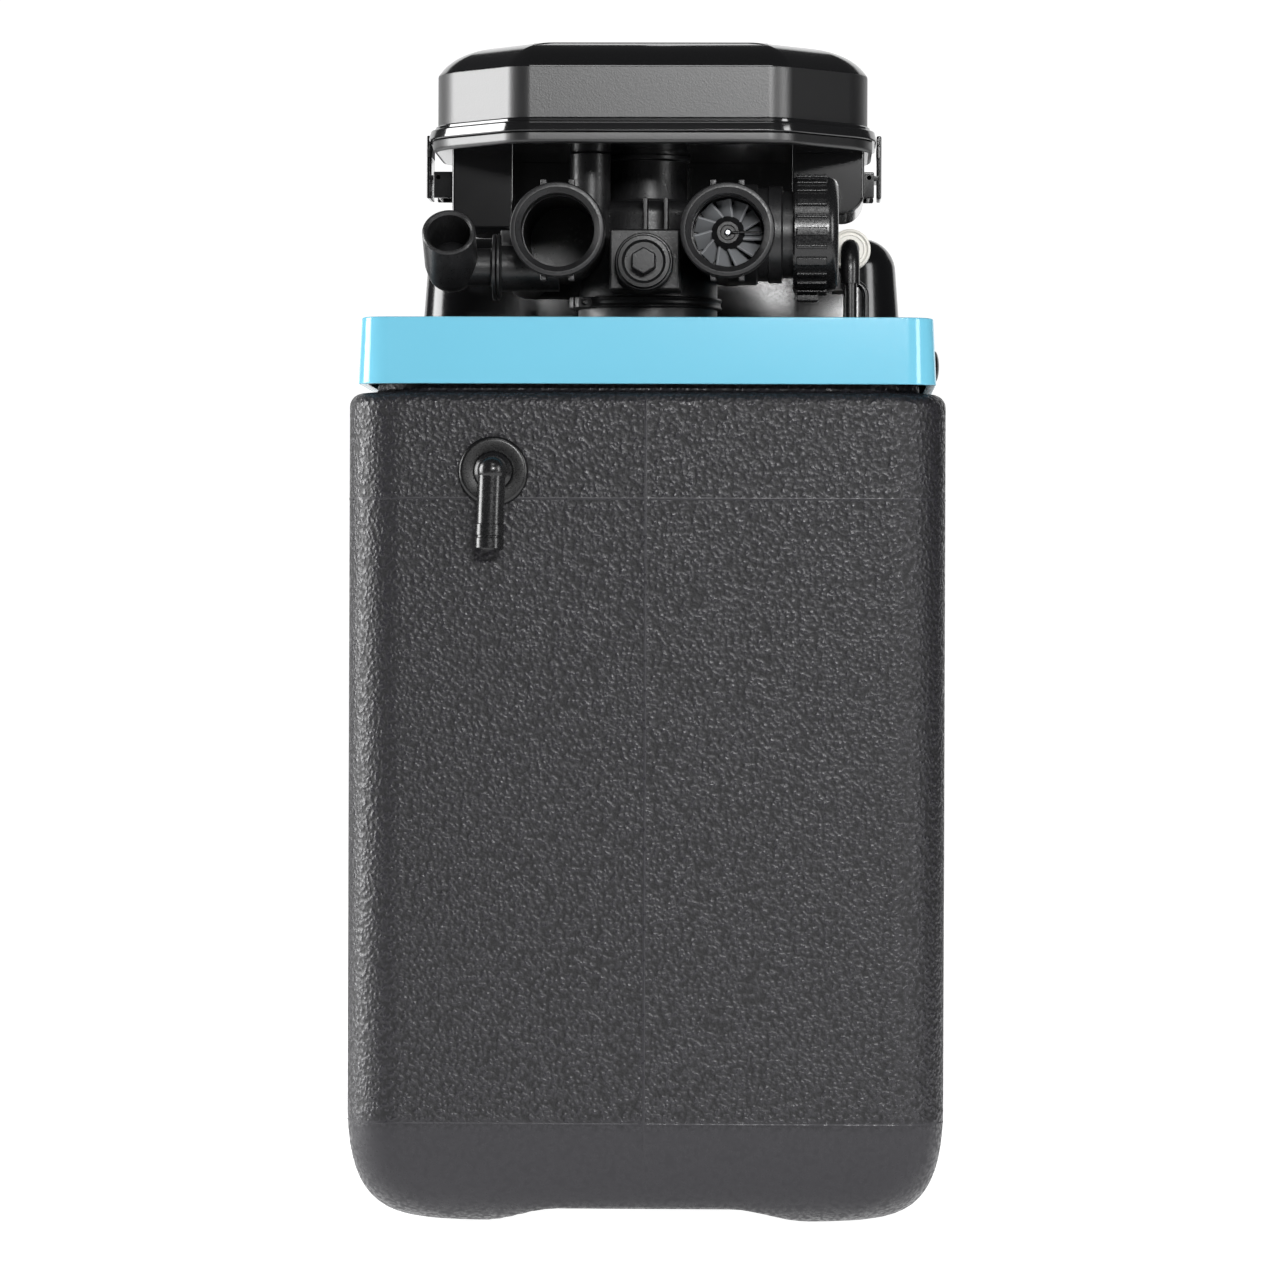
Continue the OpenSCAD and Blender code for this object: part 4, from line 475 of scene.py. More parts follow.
window_plastic = moulded("smoked_acrylic", "#10161b", "#18222a", 0.08, 2.0, 0.002, 25, 1.49, 0.02)
key_plastic = moulded("soft_touch_grey", "#37373a", "#3f3f43", 0.45, 0.4, 0.012, 10)
pin_steel = turned_metal("stainless_steel", "#b9bcc0", 0.3, 0.5)

finish_of = {
    "cabinet_polyethylene": cabinet_plastic, "collar_blue": collar_plastic, "gloss_black": lid_plastic,
    "head_black": head_plastic, "valve_black": valve_plastic, "rubber": seal_rubber, "steel": pin_steel,
    "white_plastic": white_acetal, "tank_shell": tank_shell, "resin": resin_beads,
    "turbine_grey": turbine_plastic, "motor_case": motor_paint, "board_green": board_mask,
    "window_glass": window_plastic, "key_grey": key_plastic,
}
for row in frame["record"]["subparts"]:
    mesh = frame["nodes"][row["node"]].data
    mesh.materials.clear()
    mesh.materials.append(finish_of[row["material_slot"]])


# Cabinet

CORNER_R = 24
SHOULDER_R = 6
SHOULDER_Z = 360.5
NECK_INSET = 11.5
CABINET_WALL = 3.5
FOOT_INSET = 40
FOOT_RISE = 48
ARCH_H = 7
ARCH_FLAT = 38
ARCH_FOOT = 73
FLOOR_Z = ARCH_H + CABINET_WALL
BEAD = 0.22
BEAD_HALF = 0.7
UPPER_LINE_Z = 314.4
LOWER_LINE_Z = 44.9
FACE_DRAFT = 0.008
GROMMET_R = 15.1

cabinet_low, cabinet_high = (corner/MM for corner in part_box("cabinet"))
cabinet_w = cabinet_high.x - cabinet_low.x
cabinet_d = cabinet_high.y - cabinet_low.y
cabinet_y = (cabinet_high.y + cabinet_low.y)/2
neck_top = cabinet_high.z


def foot_curve(wall, base, steps=14):
    """Growth and height of the foot, from its runners up to the side."""
    curve = [cubic((1, 0), (0.3, 0.01), (0.025, 0.29), (0, 1), i/steps) for i in range(steps + 1)]
    return [(-wall - p[0]*FOOT_INSET, base + p[1]*(FOOT_RISE - base)) for p in curve]


def arch_height(x):
    """Height of the channel between the runners, at x in mm."""
    t = max(0, min(1, (ARCH_FOOT - abs(x))/(ARCH_FOOT - ARCH_FLAT)))
    return ARCH_H*(1 - math.cos(math.pi*t))/2


def cabinet_levels():
    """Outside of the cabinet from the foot up to the neck, then down its inside."""
    shoulder = arc(-SHOULDER_R, SHOULDER_Z - SHOULDER_R, SHOULDER_R, 0, 90)
    neck_fillet = arc(-NECK_INSET + 2, SHOULDER_Z + 2, 2, 270, 180)
    neck_out = arc(-NECK_INSET - 1, neck_top - 1, 1, 0, 90, 3)
    neck_in = NECK_INSET + CABINET_WALL
    inner_z = SHOULDER_Z - CABINET_WALL
    inner = arc(-CABINET_WALL - SHOULDER_R, inner_z - SHOULDER_R, SHOULDER_R, 90, 0)
    return (foot_curve(0, 0) + shoulder + neck_fillet + neck_out
            + [(-neck_in, neck_top), (-neck_in, inner_z)] + inner + foot_curve(CABINET_WALL, FLOOR_Z)[::-1])


def cabinet_shell():
    """Blow-moulded shell with its arch, parting bead and mould lines."""
    part = bmesh.new()
    first = plan(part, box_corners(cabinet_w, cabinet_d), [CORNER_R]*4, 12)
    last = draw(part, first, squared(first, cabinet_w, cabinet_d, CORNER_R), cabinet_levels())
    part.faces.new(first)
    part.faces.new(last)
    bmesh.ops.recalc_face_normals(part, faces=part.faces)
    cuts = [(x*MM, X_AXIS) for x in range(-ARCH_FOOT, ARCH_FOOT + 1, 5)]
    cuts += [(s*BEAD_HALF*MM, X_AXIS) for s in (-1, 0, 1)]
    cuts += [((z + s*BEAD_HALF)*MM, Z_AXIS) for z in (UPPER_LINE_Z, LOWER_LINE_Z) for s in (-1, 0, 1)]
    for place, way in cuts:
        bmesh.ops.bisect_plane(part, geom=part.verts[:] + part.edges[:] + part.faces[:], dist=1e-6,
                               plane_co=way*place, plane_no=way)
    part.normal_update()
    inside_x = (cabinet_w/2 - CABINET_WALL + 0.1)*MM
    inside_y = (cabinet_d/2 - CABINET_WALL + 0.1)*MM
    for v in part.verts:
        outer = abs(v.co.x) > inside_x or abs(v.co.y) > inside_y
        on_line = any(abs(v.co.z - z*MM) < 1e-5 for z in (UPPER_LINE_Z, LOWER_LINE_Z))
        on_parting = abs(v.co.x) < 1e-5 and FOOT_RISE*0.4*MM < v.co.z < SHOULDER_Z*MM
        if outer and (on_line or on_parting):
            v.co += v.normal*BEAD*MM
        low = arch_height(v.co.x/MM)*MM
        if v.co.z < min(low, (FLOOR_Z - 0.1)*MM):
            v.co.z = low
        if v.co.y < 0:
            v.co.y += FACE_DRAFT*abs(v.co.x)*min(1, -v.co.y/inside_y)
    piece = bmesh.new()
    put(piece, part, at(0, cabinet_y, 0))
    hole = bmesh.new()
    rod(hole, GROMMET_R - 4, -12, 12, on_joint("overflow_swivel", -Y_AXIS), 0)
    return boolean(piece, hole, "DIFFERENCE")


make("cabinet_shell", cabinet_shell(), cabinet_plastic, "frame", "cabinet_polyethylene", "cabinet")

# Collar

COLLAR_R = 14
COLLAR_DRAFT = 1.3
COLLAR_WALL = 3
LEDGE_W = 12
LEDGE_T = 3
collar_low, collar_high = (corner/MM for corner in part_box("collar"))
collar_w = collar_high.x - collar_low.x
collar_d = collar_high.y - collar_low.y
collar_in = COLLAR_DRAFT + COLLAR_WALL
ledge_top = neck_top + LEDGE_T


def collar_ring():
    """Blue ring with a drawn-in wall, soft edges and the ledge that rests on the neck."""
    low = collar_low.z
    high = collar_high.z
    levels = [(-collar_in, low)]
    levels += arc(-0.6, low + 0.6, 0.6, 270, 360, 3)
    levels += [(p[0] - COLLAR_DRAFT, p[1]) for p in arc(-0.7, high - 0.7, 0.7, 0, 90, 4)]
    levels += arc(-collar_in + 0.5, high - 0.5, 0.5, 90, 180, 3)
    levels += [(-collar_in, ledge_top), (-collar_in - LEDGE_W, ledge_top), (-collar_in - LEDGE_W, neck_top),
               (-collar_in, neck_top)]
    piece = bmesh.new()
    ring = moulding(box_corners(collar_w, collar_d), [COLLAR_R]*4, levels, "closed", 12)
    put(piece, ring, at(0, cabinet_y, 0))
    return piece


make("collar_ring", collar_ring(), collar_plastic, "frame", "collar_blue", "collar")


def collar_plugs():
    """Domed push-in plugs in the sides of the collar."""
    low, high = (corner/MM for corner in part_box("collar_plugs"))
    r = (high.z - low.z)/2
    reach = high.x - collar_high.x
    piece = bmesh.new()
    for side in (-1, 1):
        place = at(side*collar_high.x, (low.y + high.y)/2, (low.z + high.z)/2, X_AXIS*side)
        dome = [(r*math.cos(a), reach*math.sin(a)) for a in (0, 0.35, 0.7, 1.05, 1.4)]
        turned(piece, [(0, -5), (r - 2.5, -5), (r - 2.5, -0.6), (r, -0.6)] + dome + [(0, reach)], place)
    return piece


make("side_plugs", collar_plugs(), seal_rubber, "frame", "rubber", "collar_plugs")

# Salt lid

LID_CORNER_R = 24
LID_LEAN = 3
LID_EDGE_R = 16
LID_WALL = 3
KNUCKLE_R = 5
KNUCKLE_L = 18
HINGE_X = 70
lid_low, lid_high = (corner/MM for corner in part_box("salt_lid"))
hinge_spot = Vector(joint["lid_hinge"]["pos_m"])/MM
lid_w = lid_high.x - lid_low.x
lid_rear = hinge_spot.y + 6
lid_d = lid_high.y - lid_rear
lid_y = (lid_high.y + lid_rear)/2


def salt_lid_shell():
    """Deep lid with leaning walls, a large round edge and two hinge knuckles."""
    low = lid_low.z
    high = lid_high.z
    inner_r = LID_EDGE_R - LID_WALL
    edge_z = high - LID_EDGE_R
    inside = arc(-LID_LEAN - LID_EDGE_R, edge_z, inner_r, 90, 0, 8)
    outside = arc(-LID_LEAN - LID_EDGE_R, edge_z, LID_EDGE_R, 0, 90, 10)
    rim = [(-LID_WALL, low), (-LID_WALL + 0.6, low), (-0.6, low), (0, low + 0.6)]
    piece = bmesh.new()
    shell = moulding(box_corners(lid_w, lid_d), [LID_CORNER_R]*4, inside + rim + outside, steps=12)
    put(piece, shell, at(0, lid_y, 0))
    for side in (-1, 1):
        x = side*HINGE_X
        rod(piece, KNUCKLE_R, -KNUCKLE_L/2, KNUCKLE_L/2, at(x, hinge_spot.y, hinge_spot.z, X_AXIS), 0.6)
        block(piece, (x - KNUCKLE_L/2, hinge_spot.y, hinge_spot.z - KNUCKLE_R/2),
              (x + KNUCKLE_L/2, lid_rear + 1.5, hinge_spot.z + KNUCKLE_R), 0.6)
    return piece


make("salt_lid_shell", salt_lid_shell(), lid_plastic, "salt_lid", "gloss_black", "salt_lid")

# Valve head

HEAD_X = 0.5
HEAD_W = 190
HEAD_D = 160
HEAD_FLAT_W = 116
HEAD_CORNER_D = 42
HEAD_FRONT_W = 140
HEAD_FRONT_D = 30
HEAD_RADII = [14, 14, 34, 34, 34, 34, 34, 34]
HEAD_WALL = 2.5
CROWN_H = 12.5
CROWN_INSET = 27
COVER_RIM_W = 4
COVER_RIM_H = 4.5
TRAY_RIM_W = 2.2
KEY_D = 10
WINDOW_W = 60
WINDOW_D = 22
POCKET_R = 9.7

cover_low, cover_high = (corner/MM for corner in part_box("head_cover"))
tray_high_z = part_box("head_tray")[1].z/MM
tray_z = tray_high_z - 5
head_y = (cover_high.y + cover_low.y)/2
wall_z = cover_low.z + COVER_RIM_H
crown_z = cover_high.z - CROWN_H
head_place = at(HEAD_X, head_y, 0)


def head_corners():
    """Plan of the head: a flat rear face with long angled corners."""
    w, d, f, g = HEAD_W/2, HEAD_D/2, HEAD_FLAT_W/2, HEAD_FRONT_W/2
    return [(-f, -d), (f, -d), (w, -d + HEAD_CORNER_D), (w, d - HEAD_FRONT_D),
            (g, d), (-g, d), (-w, d - HEAD_FRONT_D), (-w, -d + HEAD_CORNER_D)]


def crown(wall, steps=12):
    """Growth and height of the crown of the cover, from its crease to the flat top."""
    curve = [cubic((0.03, 0.1), (0.2, 0.6), (0.5, 0.95), (1, 1), i/steps) for i in range(steps + 1)]
    return [(-wall - p[0]*CROWN_INSET, crown_z - wall + p[1]*CROWN_H) for p in curve]


def head_cover_shell():
    """Cover with a rim, a groove, upright walls and a bevelled crown, cut for its keys and display."""
    low = cover_low.z
    levels = crown(HEAD_WALL)[::-1] + [(-HEAD_WALL, crown_z - HEAD_WALL), (-HEAD_WALL, low)]
    levels += arc(COVER_RIM_W - 0.8, low + 0.8, 0.8, 270, 360, 3)
    levels += arc(COVER_RIM_W - 1.5, wall_z - 0.8, 0.8, 8, 90, 4)
    levels += [(1.5, wall_z), (1.1, wall_z + 0.3), (1.1, wall_z + 1.3), (0.8, wall_z + 1.6), (0.3, wall_z + 1.7),
               (0, wall_z + 2.0), (0, crown_z - 0.6), (-0.2, crown_z + 0.4)]
    levels += crown(0)
    shell = bmesh.new()
    put(shell, moulding(head_corners(), HEAD_RADII, levels, steps=10), head_place)
    tool = bmesh.new()
    for i in (1, 2, 3):
        key_low, key_high = (corner/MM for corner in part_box(f"key_{i}"))
        rod(tool, KEY_D/2 + 0.3, -12, 12, at(*(key_low + key_high).xy/2, cover_high.z), 0)
    window_low, window_high = (corner/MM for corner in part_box("display_window"))
    block(tool, window_low - Vector((0.1, 0.1, 0)), window_high + Vector((0.1, 0.1, 5)), 0)
    return boolean(shell, tool, "DIFFERENCE")


make("head_cover_shell", head_cover_shell(), head_plastic, "head_cover", "head_black", "head_cover")


LATCH_W = 26
LEFT_POCKET = (-88.3, -61.0)
RIGHT_POCKET = (62.0, 94.2)
LEFT_FOOT = 435.6
RIGHT_FOOT = 442.2
POCKET_Y = (-150, -80)
SUMP_H = 24
SUMP_D = 14
LATCH_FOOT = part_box("left_latch")[0].z/MM


def head_tray_shell():
    """Tray under the cover: a rim, a floor and two hanging pockets with round outer feet."""
    floor = tray_z + HEAD_WALL
    levels = [(-HEAD_WALL, floor), (-HEAD_WALL, tray_high_z), (TRAY_RIM_W - 0.5, tray_high_z)]
    levels += arc(TRAY_RIM_W - 0.6, tray_high_z - 0.6, 0.6, 90, 0, 3)
    levels += arc(TRAY_RIM_W - 1.8, tray_z + 1.8, 1.8, 0, -90, 4)
    piece = bmesh.new()
    put(piece, moulding(head_corners(), HEAD_RADII, levels, steps=10), head_place)
    for (x0, x1), foot in ((LEFT_POCKET, LEFT_FOOT), (RIGHT_POCKET, RIGHT_FOOT)):
        hollow = [(POCKET_Y[0], foot), (POCKET_Y[0], tray_z + 1), (POCKET_Y[1], tray_z + 1), (POCKET_Y[1], foot)]
        part = bmesh.new()
        dots = [part.verts.new((x0*MM, y*MM, z*MM)) for y, z in hollow]
        face = part.faces.new(dots)
        made = bmesh.ops.extrude_face_region(part, geom=[face])["geom"]
        moved = [v for v in made if isinstance(v, bmesh.types.BMVert)]
        bmesh.ops.translate(part, vec=(X_AXIS*(x1 - x0)*MM), verts=moved)
        bmesh.ops.recalc_face_normals(part, faces=part.faces)
        outer_x = max((x0, x1), key=abs)*MM
        foot_edges = [e for e in part.edges
                      if all(abs(v.co.x - outer_x) < 1e-6 and abs(v.co.z - foot*MM) < 1e-6 for v in e.verts)]
        bmesh.ops.bevel(part, geom=foot_edges, offset=POCKET_R*MM, offset_type="OFFSET", segments=10, profile=0.5,
                        affect="EDGES", material=-1)
        soften(part, 1.2)
        put(piece, part)
    sump_y = (POCKET_Y[1] - SUMP_D, POCKET_Y[1])
    sump_z = tray_z - SUMP_H
    block(piece, (LEFT_POCKET[1] - 2, sump_y[0], sump_z), (RIGHT_POCKET[0] + 2, sump_y[1], tray_z + 1), 1.2)
    for side, wall_x in ((-1, LEFT_POCKET[0]), (1, RIGHT_POCKET[1])):
        pin = Vector(joint["right_latch_swing" if side > 0 else "left_latch_swing"]["pos_m"])/MM
        inner, outer = sorted((wall_x - side, pin.x + side*2.2))
        for way in (-1, 1):
            near, far = sorted((pin.y + way*(LATCH_W/2 + 0.3), pin.y + way*(LATCH_W/2 + 4.3)))
            block(piece, (inner, near, LATCH_FOOT), (outer, far, pin.z + 2.5), 0.6)
        bridge = sorted((pin.x - side, pin.x + side*0.3))
        block(piece, (bridge[0], pin.y - LATCH_W/2 - 1.3, LATCH_FOOT),
              (bridge[1], pin.y + LATCH_W/2 + 1.3, LATCH_FOOT + 5), 0.4)
    tool = bmesh.new()
    for (x0, x1), foot in ((LEFT_POCKET, LEFT_FOOT), (RIGHT_POCKET, RIGHT_FOOT)):
        block(tool, (x0 + HEAD_WALL, POCKET_Y[0] + HEAD_WALL, foot + HEAD_WALL),
              (x1 - HEAD_WALL, POCKET_Y[1] - HEAD_WALL, tray_high_z + 3), POCKET_R - HEAD_WALL)
    block(tool, (LEFT_POCKET[1], sump_y[0] + HEAD_WALL, sump_z + HEAD_WALL),
          (RIGHT_POCKET[0], sump_y[1] - HEAD_WALL, tray_high_z + 3), 1.2)
    return boolean(piece, tool, "DIFFERENCE")


make("head_tray_shell", head_tray_shell(), head_plastic, "frame", "head_black", "head_tray")


def latch(side):
    """Sprung side latch: an arm with a finger lip, carried on a knuckle."""
    name = "right_latch" if side > 0 else "left_latch"
    low, high = (corner/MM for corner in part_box(name))
    pin = Vector(joint[name + "_swing"]["pos_m"])/MM
    edge = high.x if side > 0 else low.x
    inner, outer = sorted((edge - side*2.2, edge))
    piece = bmesh.new()
    block(piece, (inner, low.y, low.z), (outer, high.y, high.z), 0.7)
    rod(piece, 1.9, low.y, high.y, at(pin.x, 0, pin.z, Y_AXIS), 0.2, 32)
    web = sorted((pin.x, edge - side))
    block(piece, (web[0], low.y, pin.z - 1.2), (web[1], high.y, pin.z + 1.2), 0.3)
    for i in range(3):
        z = low.z + 2.2 + 2*i
        lip = sorted((edge - side*0.5, edge))
        block(piece, (lip[0], low.y + 3, z - 0.5), (lip[1], high.y - 3, z + 0.5), 0.2)
    return piece


for side, name in ((-1, "left_latch"), (1, "right_latch")):
    make(name + "_arm", latch(side), head_plastic, name, "head_black", name)


def key_cap(i):
    """Round key with a dished top and a retaining flange."""
    low, high = (corner/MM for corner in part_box(f"key_{i}"))
    r = KEY_D/2
    piece = bmesh.new()
    turned(piece, [(0, low.z), (r + 1.5, low.z), (r + 1.5, low.z + 1.5), (r, low.z + 1.5), (r, high.z - 0.6),
                   (r - 0.6, high.z), (r - 1.4, high.z - 0.1), (0, high.z - 0.5)],
           at(*(low + high).xy/2, 0), steps=48)
    return piece


for i in (1, 2, 3):
    make(f"key_cap_{i}", key_cap(i), key_plastic, f"key_{i}", "key_grey", f"key_{i}")


def display_pane():
    """Clear pane of the display, with soft edges, set flush in the crown."""
    piece = bmesh.new()
    low, high = (corner/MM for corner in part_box("display_window"))
    block(piece, low, high, 0.25)
    return piece


make("display_pane", display_pane(), window_plastic, "head_cover", "window_glass", "display_window")

# Valve body

inlet, outlet = (Vector(m["pos_m"])/MM for m in frame["record"]["mounts"][:2])
plug = Vector(joint["plug_turn"]["pos_m"])/MM
drain = Vector(joint["drain_swivel"]["pos_m"])/MM
branch = Vector(joint["injector_nut_turn"]["pos_m"])/MM
brine = Vector(joint["brine_nut_turn"]["pos_m"])/MM
valve = Vector(joint["drive_gear_turn"]["pos_m"])/MM
PORT_R = 20.5
PORT_TUBE_R = 19
PORT_BORE_R = 15.95
WATERWAY_R = 15.5
SOCKET_L = 18
BARREL_R = 31
TOWER_R = 17.4
GALLERY_R = 10.5
DRAIN_FLANGE_R = 14.5
neck_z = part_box("resin_tank")[1].z/MM
barrel_z = neck_z + 45


def port(piece, mouth):
    """Port with a stepped lip, a chamfered socket, a blind waterway and its index tabs."""
    depth = valve.y - mouth.y
    profile = [(0, -depth + 4), (WATERWAY_R, -depth + 4), (WATERWAY_R, -SOCKET_L), (PORT_BORE_R, -SOCKET_L),
               (PORT_BORE_R, -2.6), (PORT_BORE_R + 2.0, -0.5), (PORT_BORE_R + 2.4, 0), (PORT_R - 1.4, 0),
               (PORT_R - 0.5, -0.3), (PORT_R, -1.2), (PORT_R, -11), (PORT_R - 0.4, -11.8), (PORT_TUBE_R, -12.2),
               (PORT_TUBE_R, -depth), (0, -depth)]
    turned(piece, profile, at(*mouth, -Y_AXIS), steps=96)
    for sx in (-1, 1):
        for sz in (-1, 1):
            x = mouth.x + 6.1*sx
            z0, z1 = sorted((mouth.z + sz*(PORT_R - 1.8), mouth.z + sz*(PORT_R + 1.4)))
            block(piece, (x - 1.3, mouth.y + 4, z0), (x + 1.3, mouth.y + 11, z1), 0.5)


def valve_body_shell():
    """Moulded body: barrel, tower, two ports, plug boss, drain galleries, injector branch and brine arm."""
    piece = bmesh.new()
    upright = at(valve.x, valve.y, 0)
    turned(piece, [(0, neck_z), (BARREL_R - 0.8, neck_z), (BARREL_R, neck_z + 0.8), (BARREL_R, barrel_z - 6)]
           + arc(BARREL_R - 6, barrel_z - 6, 6, 0, 90) + [(0, barrel_z)], upright, steps=96)
    turned(piece, [(0, barrel_z - 2), (TOWER_R + 2, barrel_z - 2), (TOWER_R, barrel_z + 1.5),
                   (TOWER_R, tray_z - 2.5), (TOWER_R + 1.5, tray_z - 2), (TOWER_R + 1.5, tray_z), (0, tray_z)],
           upright, 0.3)
    rod(piece, 9, inlet.z, tray_z, at(valve.x - 25, valve.y - 22, 0), 0.8)
    for mouth in (inlet, outlet):
        rod(piece, PORT_TUBE_R, -12, 12, at(mouth.x, valve.y, mouth.z, Y_AXIS), 8)
    block(piece, (plug.x - 15.5, plug.y + 10, neck_z + 3.5), (plug.x + 15.5, valve.y, plug.z + 14.9), 1.2)
    turned(piece, [(0, 66), (12.7, 66), (12.7, 0.8), (12.3, 0.1), (11.9, 0), (10.2, 0), (9.6, 0.6), (8.05, 0.6),
                   (8.05, 18), (0, 18)], at(*plug, Y_AXIS))
    for x in (0, 9):
        block(piece, (plug.x + x - 1, valve.y - 46, inlet.z), (plug.x + x + 1, valve.y - 6, barrel_z), 0.4)
    inward = at(*drain, X_AXIS)
    turned(piece, [(0, 9), (7.05, 9), (7.05, 0), (DRAIN_FLANGE_R - 0.5, 0), (DRAIN_FLANGE_R, 0.4),
                   (DRAIN_FLANGE_R, 1.3), (DRAIN_FLANGE_R - 0.5, 1.6), (GALLERY_R + 0.6, 1.6), (GALLERY_R, 2.4),
                   (GALLERY_R, 27), (0, 27)], inward)
    gallery_x = drain.x + 11
    rod(piece, GALLERY_R, drain.y - 2, valve.y, at(gallery_x, 0, drain.z, Y_AXIS), 2)
    rod(piece, GALLERY_R, gallery_x, valve.x, at(0, valve.y, drain.z, X_AXIS), 2)
    nut_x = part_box("injector_nut")[0].x/MM
    turned(piece, [(0, outlet.x), (22, outlet.x), (22, nut_x - 16), (21.4, nut_x - 15.4), (20.4, nut_x - 15.4),
                   (20.4, nut_x - 11), (21.2, nut_x - 10.6), (21.2, nut_x - 5.2), (20.8, nut_x - 4.8),
                   (19.4, nut_x - 4.8), (19, nut_x - 4.4), (19, nut_x + 13.4), (18.6, nut_x + 13.8),
                   (13.3, nut_x + 13.8), (13.3, nut_x - 10), (0, nut_x - 10)],
           at(0, branch.y, branch.z, X_AXIS), steps=96)
    arm_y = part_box("brine_fitting")[1].y/MM - 6
    rod(piece, 6, outlet.x, nut_x + 1, at(0, arm_y, brine.z, X_AXIS), 0.5)
    waterways = bmesh.new()
    for mouth in (inlet, outlet):
        rod(waterways, WATERWAY_R + 1, mouth.y - 1, valve.y - 2, at(mouth.x, 0, mouth.z, Y_AXIS), 0)
    piece = boolean(piece, waterways, "DIFFERENCE")
    for mouth in (inlet, outlet):
        port(piece, mouth)
    return piece


make("valve_body_shell", valve_body_shell(), valve_plastic, "frame", "valve_black", "valve_body")


def neck_clamp_ring():
    """Band clamp round the tank neck, with rolled edges and a closing ear."""
    low, high = (corner/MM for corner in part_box("neck_clamp"))
    r = BARREL_R + 0.2
    middle = (low.z + high.z)/2
    half = (high.z - low.z)/2
    piece = bmesh.new()
    section = [(r, middle - half), (r + 1.4, middle - half), (r + 2, middle - half + 0.7), (r + 1.3, middle - 0.6),
               (r + 1.3, middle + 0.6), (r + 2, middle + half - 0.7), (r + 1.4, middle + half), (r, middle + half)]
    turned(piece, section, at(valve.x, valve.y, 0), 0.2, 96)
    ear = at(valve.x, valve.y, 0) @ Matrix.Rotation(math.radians(215), 4, "Z")
    for side in (-1, 1):
        near, far = sorted((side*0.5, side*4))
        block(piece, (r + 0.8, near, low.z), (r + 8, far, high.z), 0.5, ear)
    rod(piece, 1.4, -6, 6, ear @ at(r + 5, 0, middle, Y_AXIS), 0.3, 24)
    return piece


make("neck_clamp_ring", neck_clamp_ring(), valve_plastic, "frame", "valve_black", "neck_clamp")


def service_plug_head():
    """Threaded plug with a collar, a sunk ring and a six-sided head."""
    piece = bmesh.new()
    out = at(*plug, -Y_AXIS)
    turned(piece, [(0, -15), (8, -15), (8, 0.3), (11.7, 0.3), (11.7, 1.6), (11.2, 2.4), (9.6, 2.5), (9.0, 1.9),
                   (8.4, 1.4), (0, 1.4)], out)
    part = bmesh.new()
    bmesh.ops.create_cone(part, cap_ends=True, segments=6, radius1=6.2*MM, radius2=5.9*MM, depth=7.6*MM)
    bmesh.ops.translate(part, vec=Z_AXIS*5.2*MM, verts=part.verts)
    soften(part, 0.7)
    put(piece, part, out)
    return piece


make("service_plug_head", service_plug_head(), valve_plastic, "service_plug", "valve_black", "service_plug")


def ball(piece, r, place, steps=48):
    """Adds a round ball at the origin of its place."""
    part = bmesh.new()
    bmesh.ops.create_uvsphere(part, u_segments=steps, v_segments=steps//2, radius=r*MM)
    put(piece, part, place)


# Drain

MOUTH_R = 11.6
MOUTH_BORE_R = 9.35
MOUTH_L = 28
MOUTH_REACH = 20
MOUTH_WAY = Vector((0, -math.cos(math.pi/6), math.sin(math.pi/6)))


def drain_elbow_body():
    """Turning elbow with a sealed stem, a flange, a round heel and a raised mouth."""
    piece = bmesh.new()
    r = DRAIN_FLANGE_R
    turned(piece, [(0, -8), (6.6, -8), (7, -7.6), (7, 0.3), (r - 0.4, 0.3), (r, 0.6), (r, 1.6), (r - 0.4, 1.9),
                   (9.2, 1.9), (8.3, 2.8), (8.3, MOUTH_REACH), (0, MOUTH_REACH)], at(*drain, -X_AXIS))
    heel = drain - X_AXIS*MOUTH_REACH
    ball(piece, MOUTH_R - 0.6, at(*heel))
    turned(piece, [(0, 2), (MOUTH_BORE_R, 2), (MOUTH_BORE_R, MOUTH_L - 1.1), (MOUTH_BORE_R + 0.9, MOUTH_L),
                   (MOUTH_R - 0.6, MOUTH_L), (MOUTH_R, MOUTH_L - 0.6), (MOUTH_R, 4), (MOUTH_R - 0.6, 0), (0, 0)],
           at(*heel, MOUTH_WAY), steps=96)
    return piece


make("drain_elbow_body", drain_elbow_body(), valve_plastic, "drain_elbow", "valve_black", "drain_elbow")


def drain_clip_block():
    """Spring clip that holds the two drain flanges together."""
    piece = bmesh.new()
    low, high = (corner/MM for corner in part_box("drain_clip"))
    block(piece, (low.x, low.y, high.z - 6), high, 0.7)
    for y in (low.y, high.y - 2.2):
        block(piece, (low.x, y, low.z), (high.x, y + 2.2, high.z - 1), 0.5)
    return piece


make("drain_clip_block", drain_clip_block(), valve_plastic, "frame", "valve_black", "drain_clip")

# Overflow

STEM_R = 8
LEG_R = 5.85
BARB_R = 6.3
BARB_L = 5.2
BARB_GAP = 0.7
LEG_BORE_R = 4.3
LEG_L = 34
LEG_OUT = 12.2
LEG_LEAN = math.radians(2)


def overflow_grommet_ring():
    """Rubber grommet in the wall, with a broad rounded lip."""
    piece = bmesh.new()
    back = -CABINET_WALL - 3
    section = [(STEM_R + 0.05, back), (13, back), (13, -CABINET_WALL), (11, -CABINET_WALL), (11, 0), (GROMMET_R, 0)]
    section += arc(GROMMET_R - 2, 1, 2, 0, 90, 6) + [(STEM_R + 1.2, 3), (STEM_R + 0.05, 2.4)]
    turned(piece, section, on_joint("overflow_swivel", -Y_AXIS), steps=96)
    return piece


make("overflow_grommet_ring", overflow_grommet_ring(), seal_rubber, "frame", "rubber", "overflow_grommet")


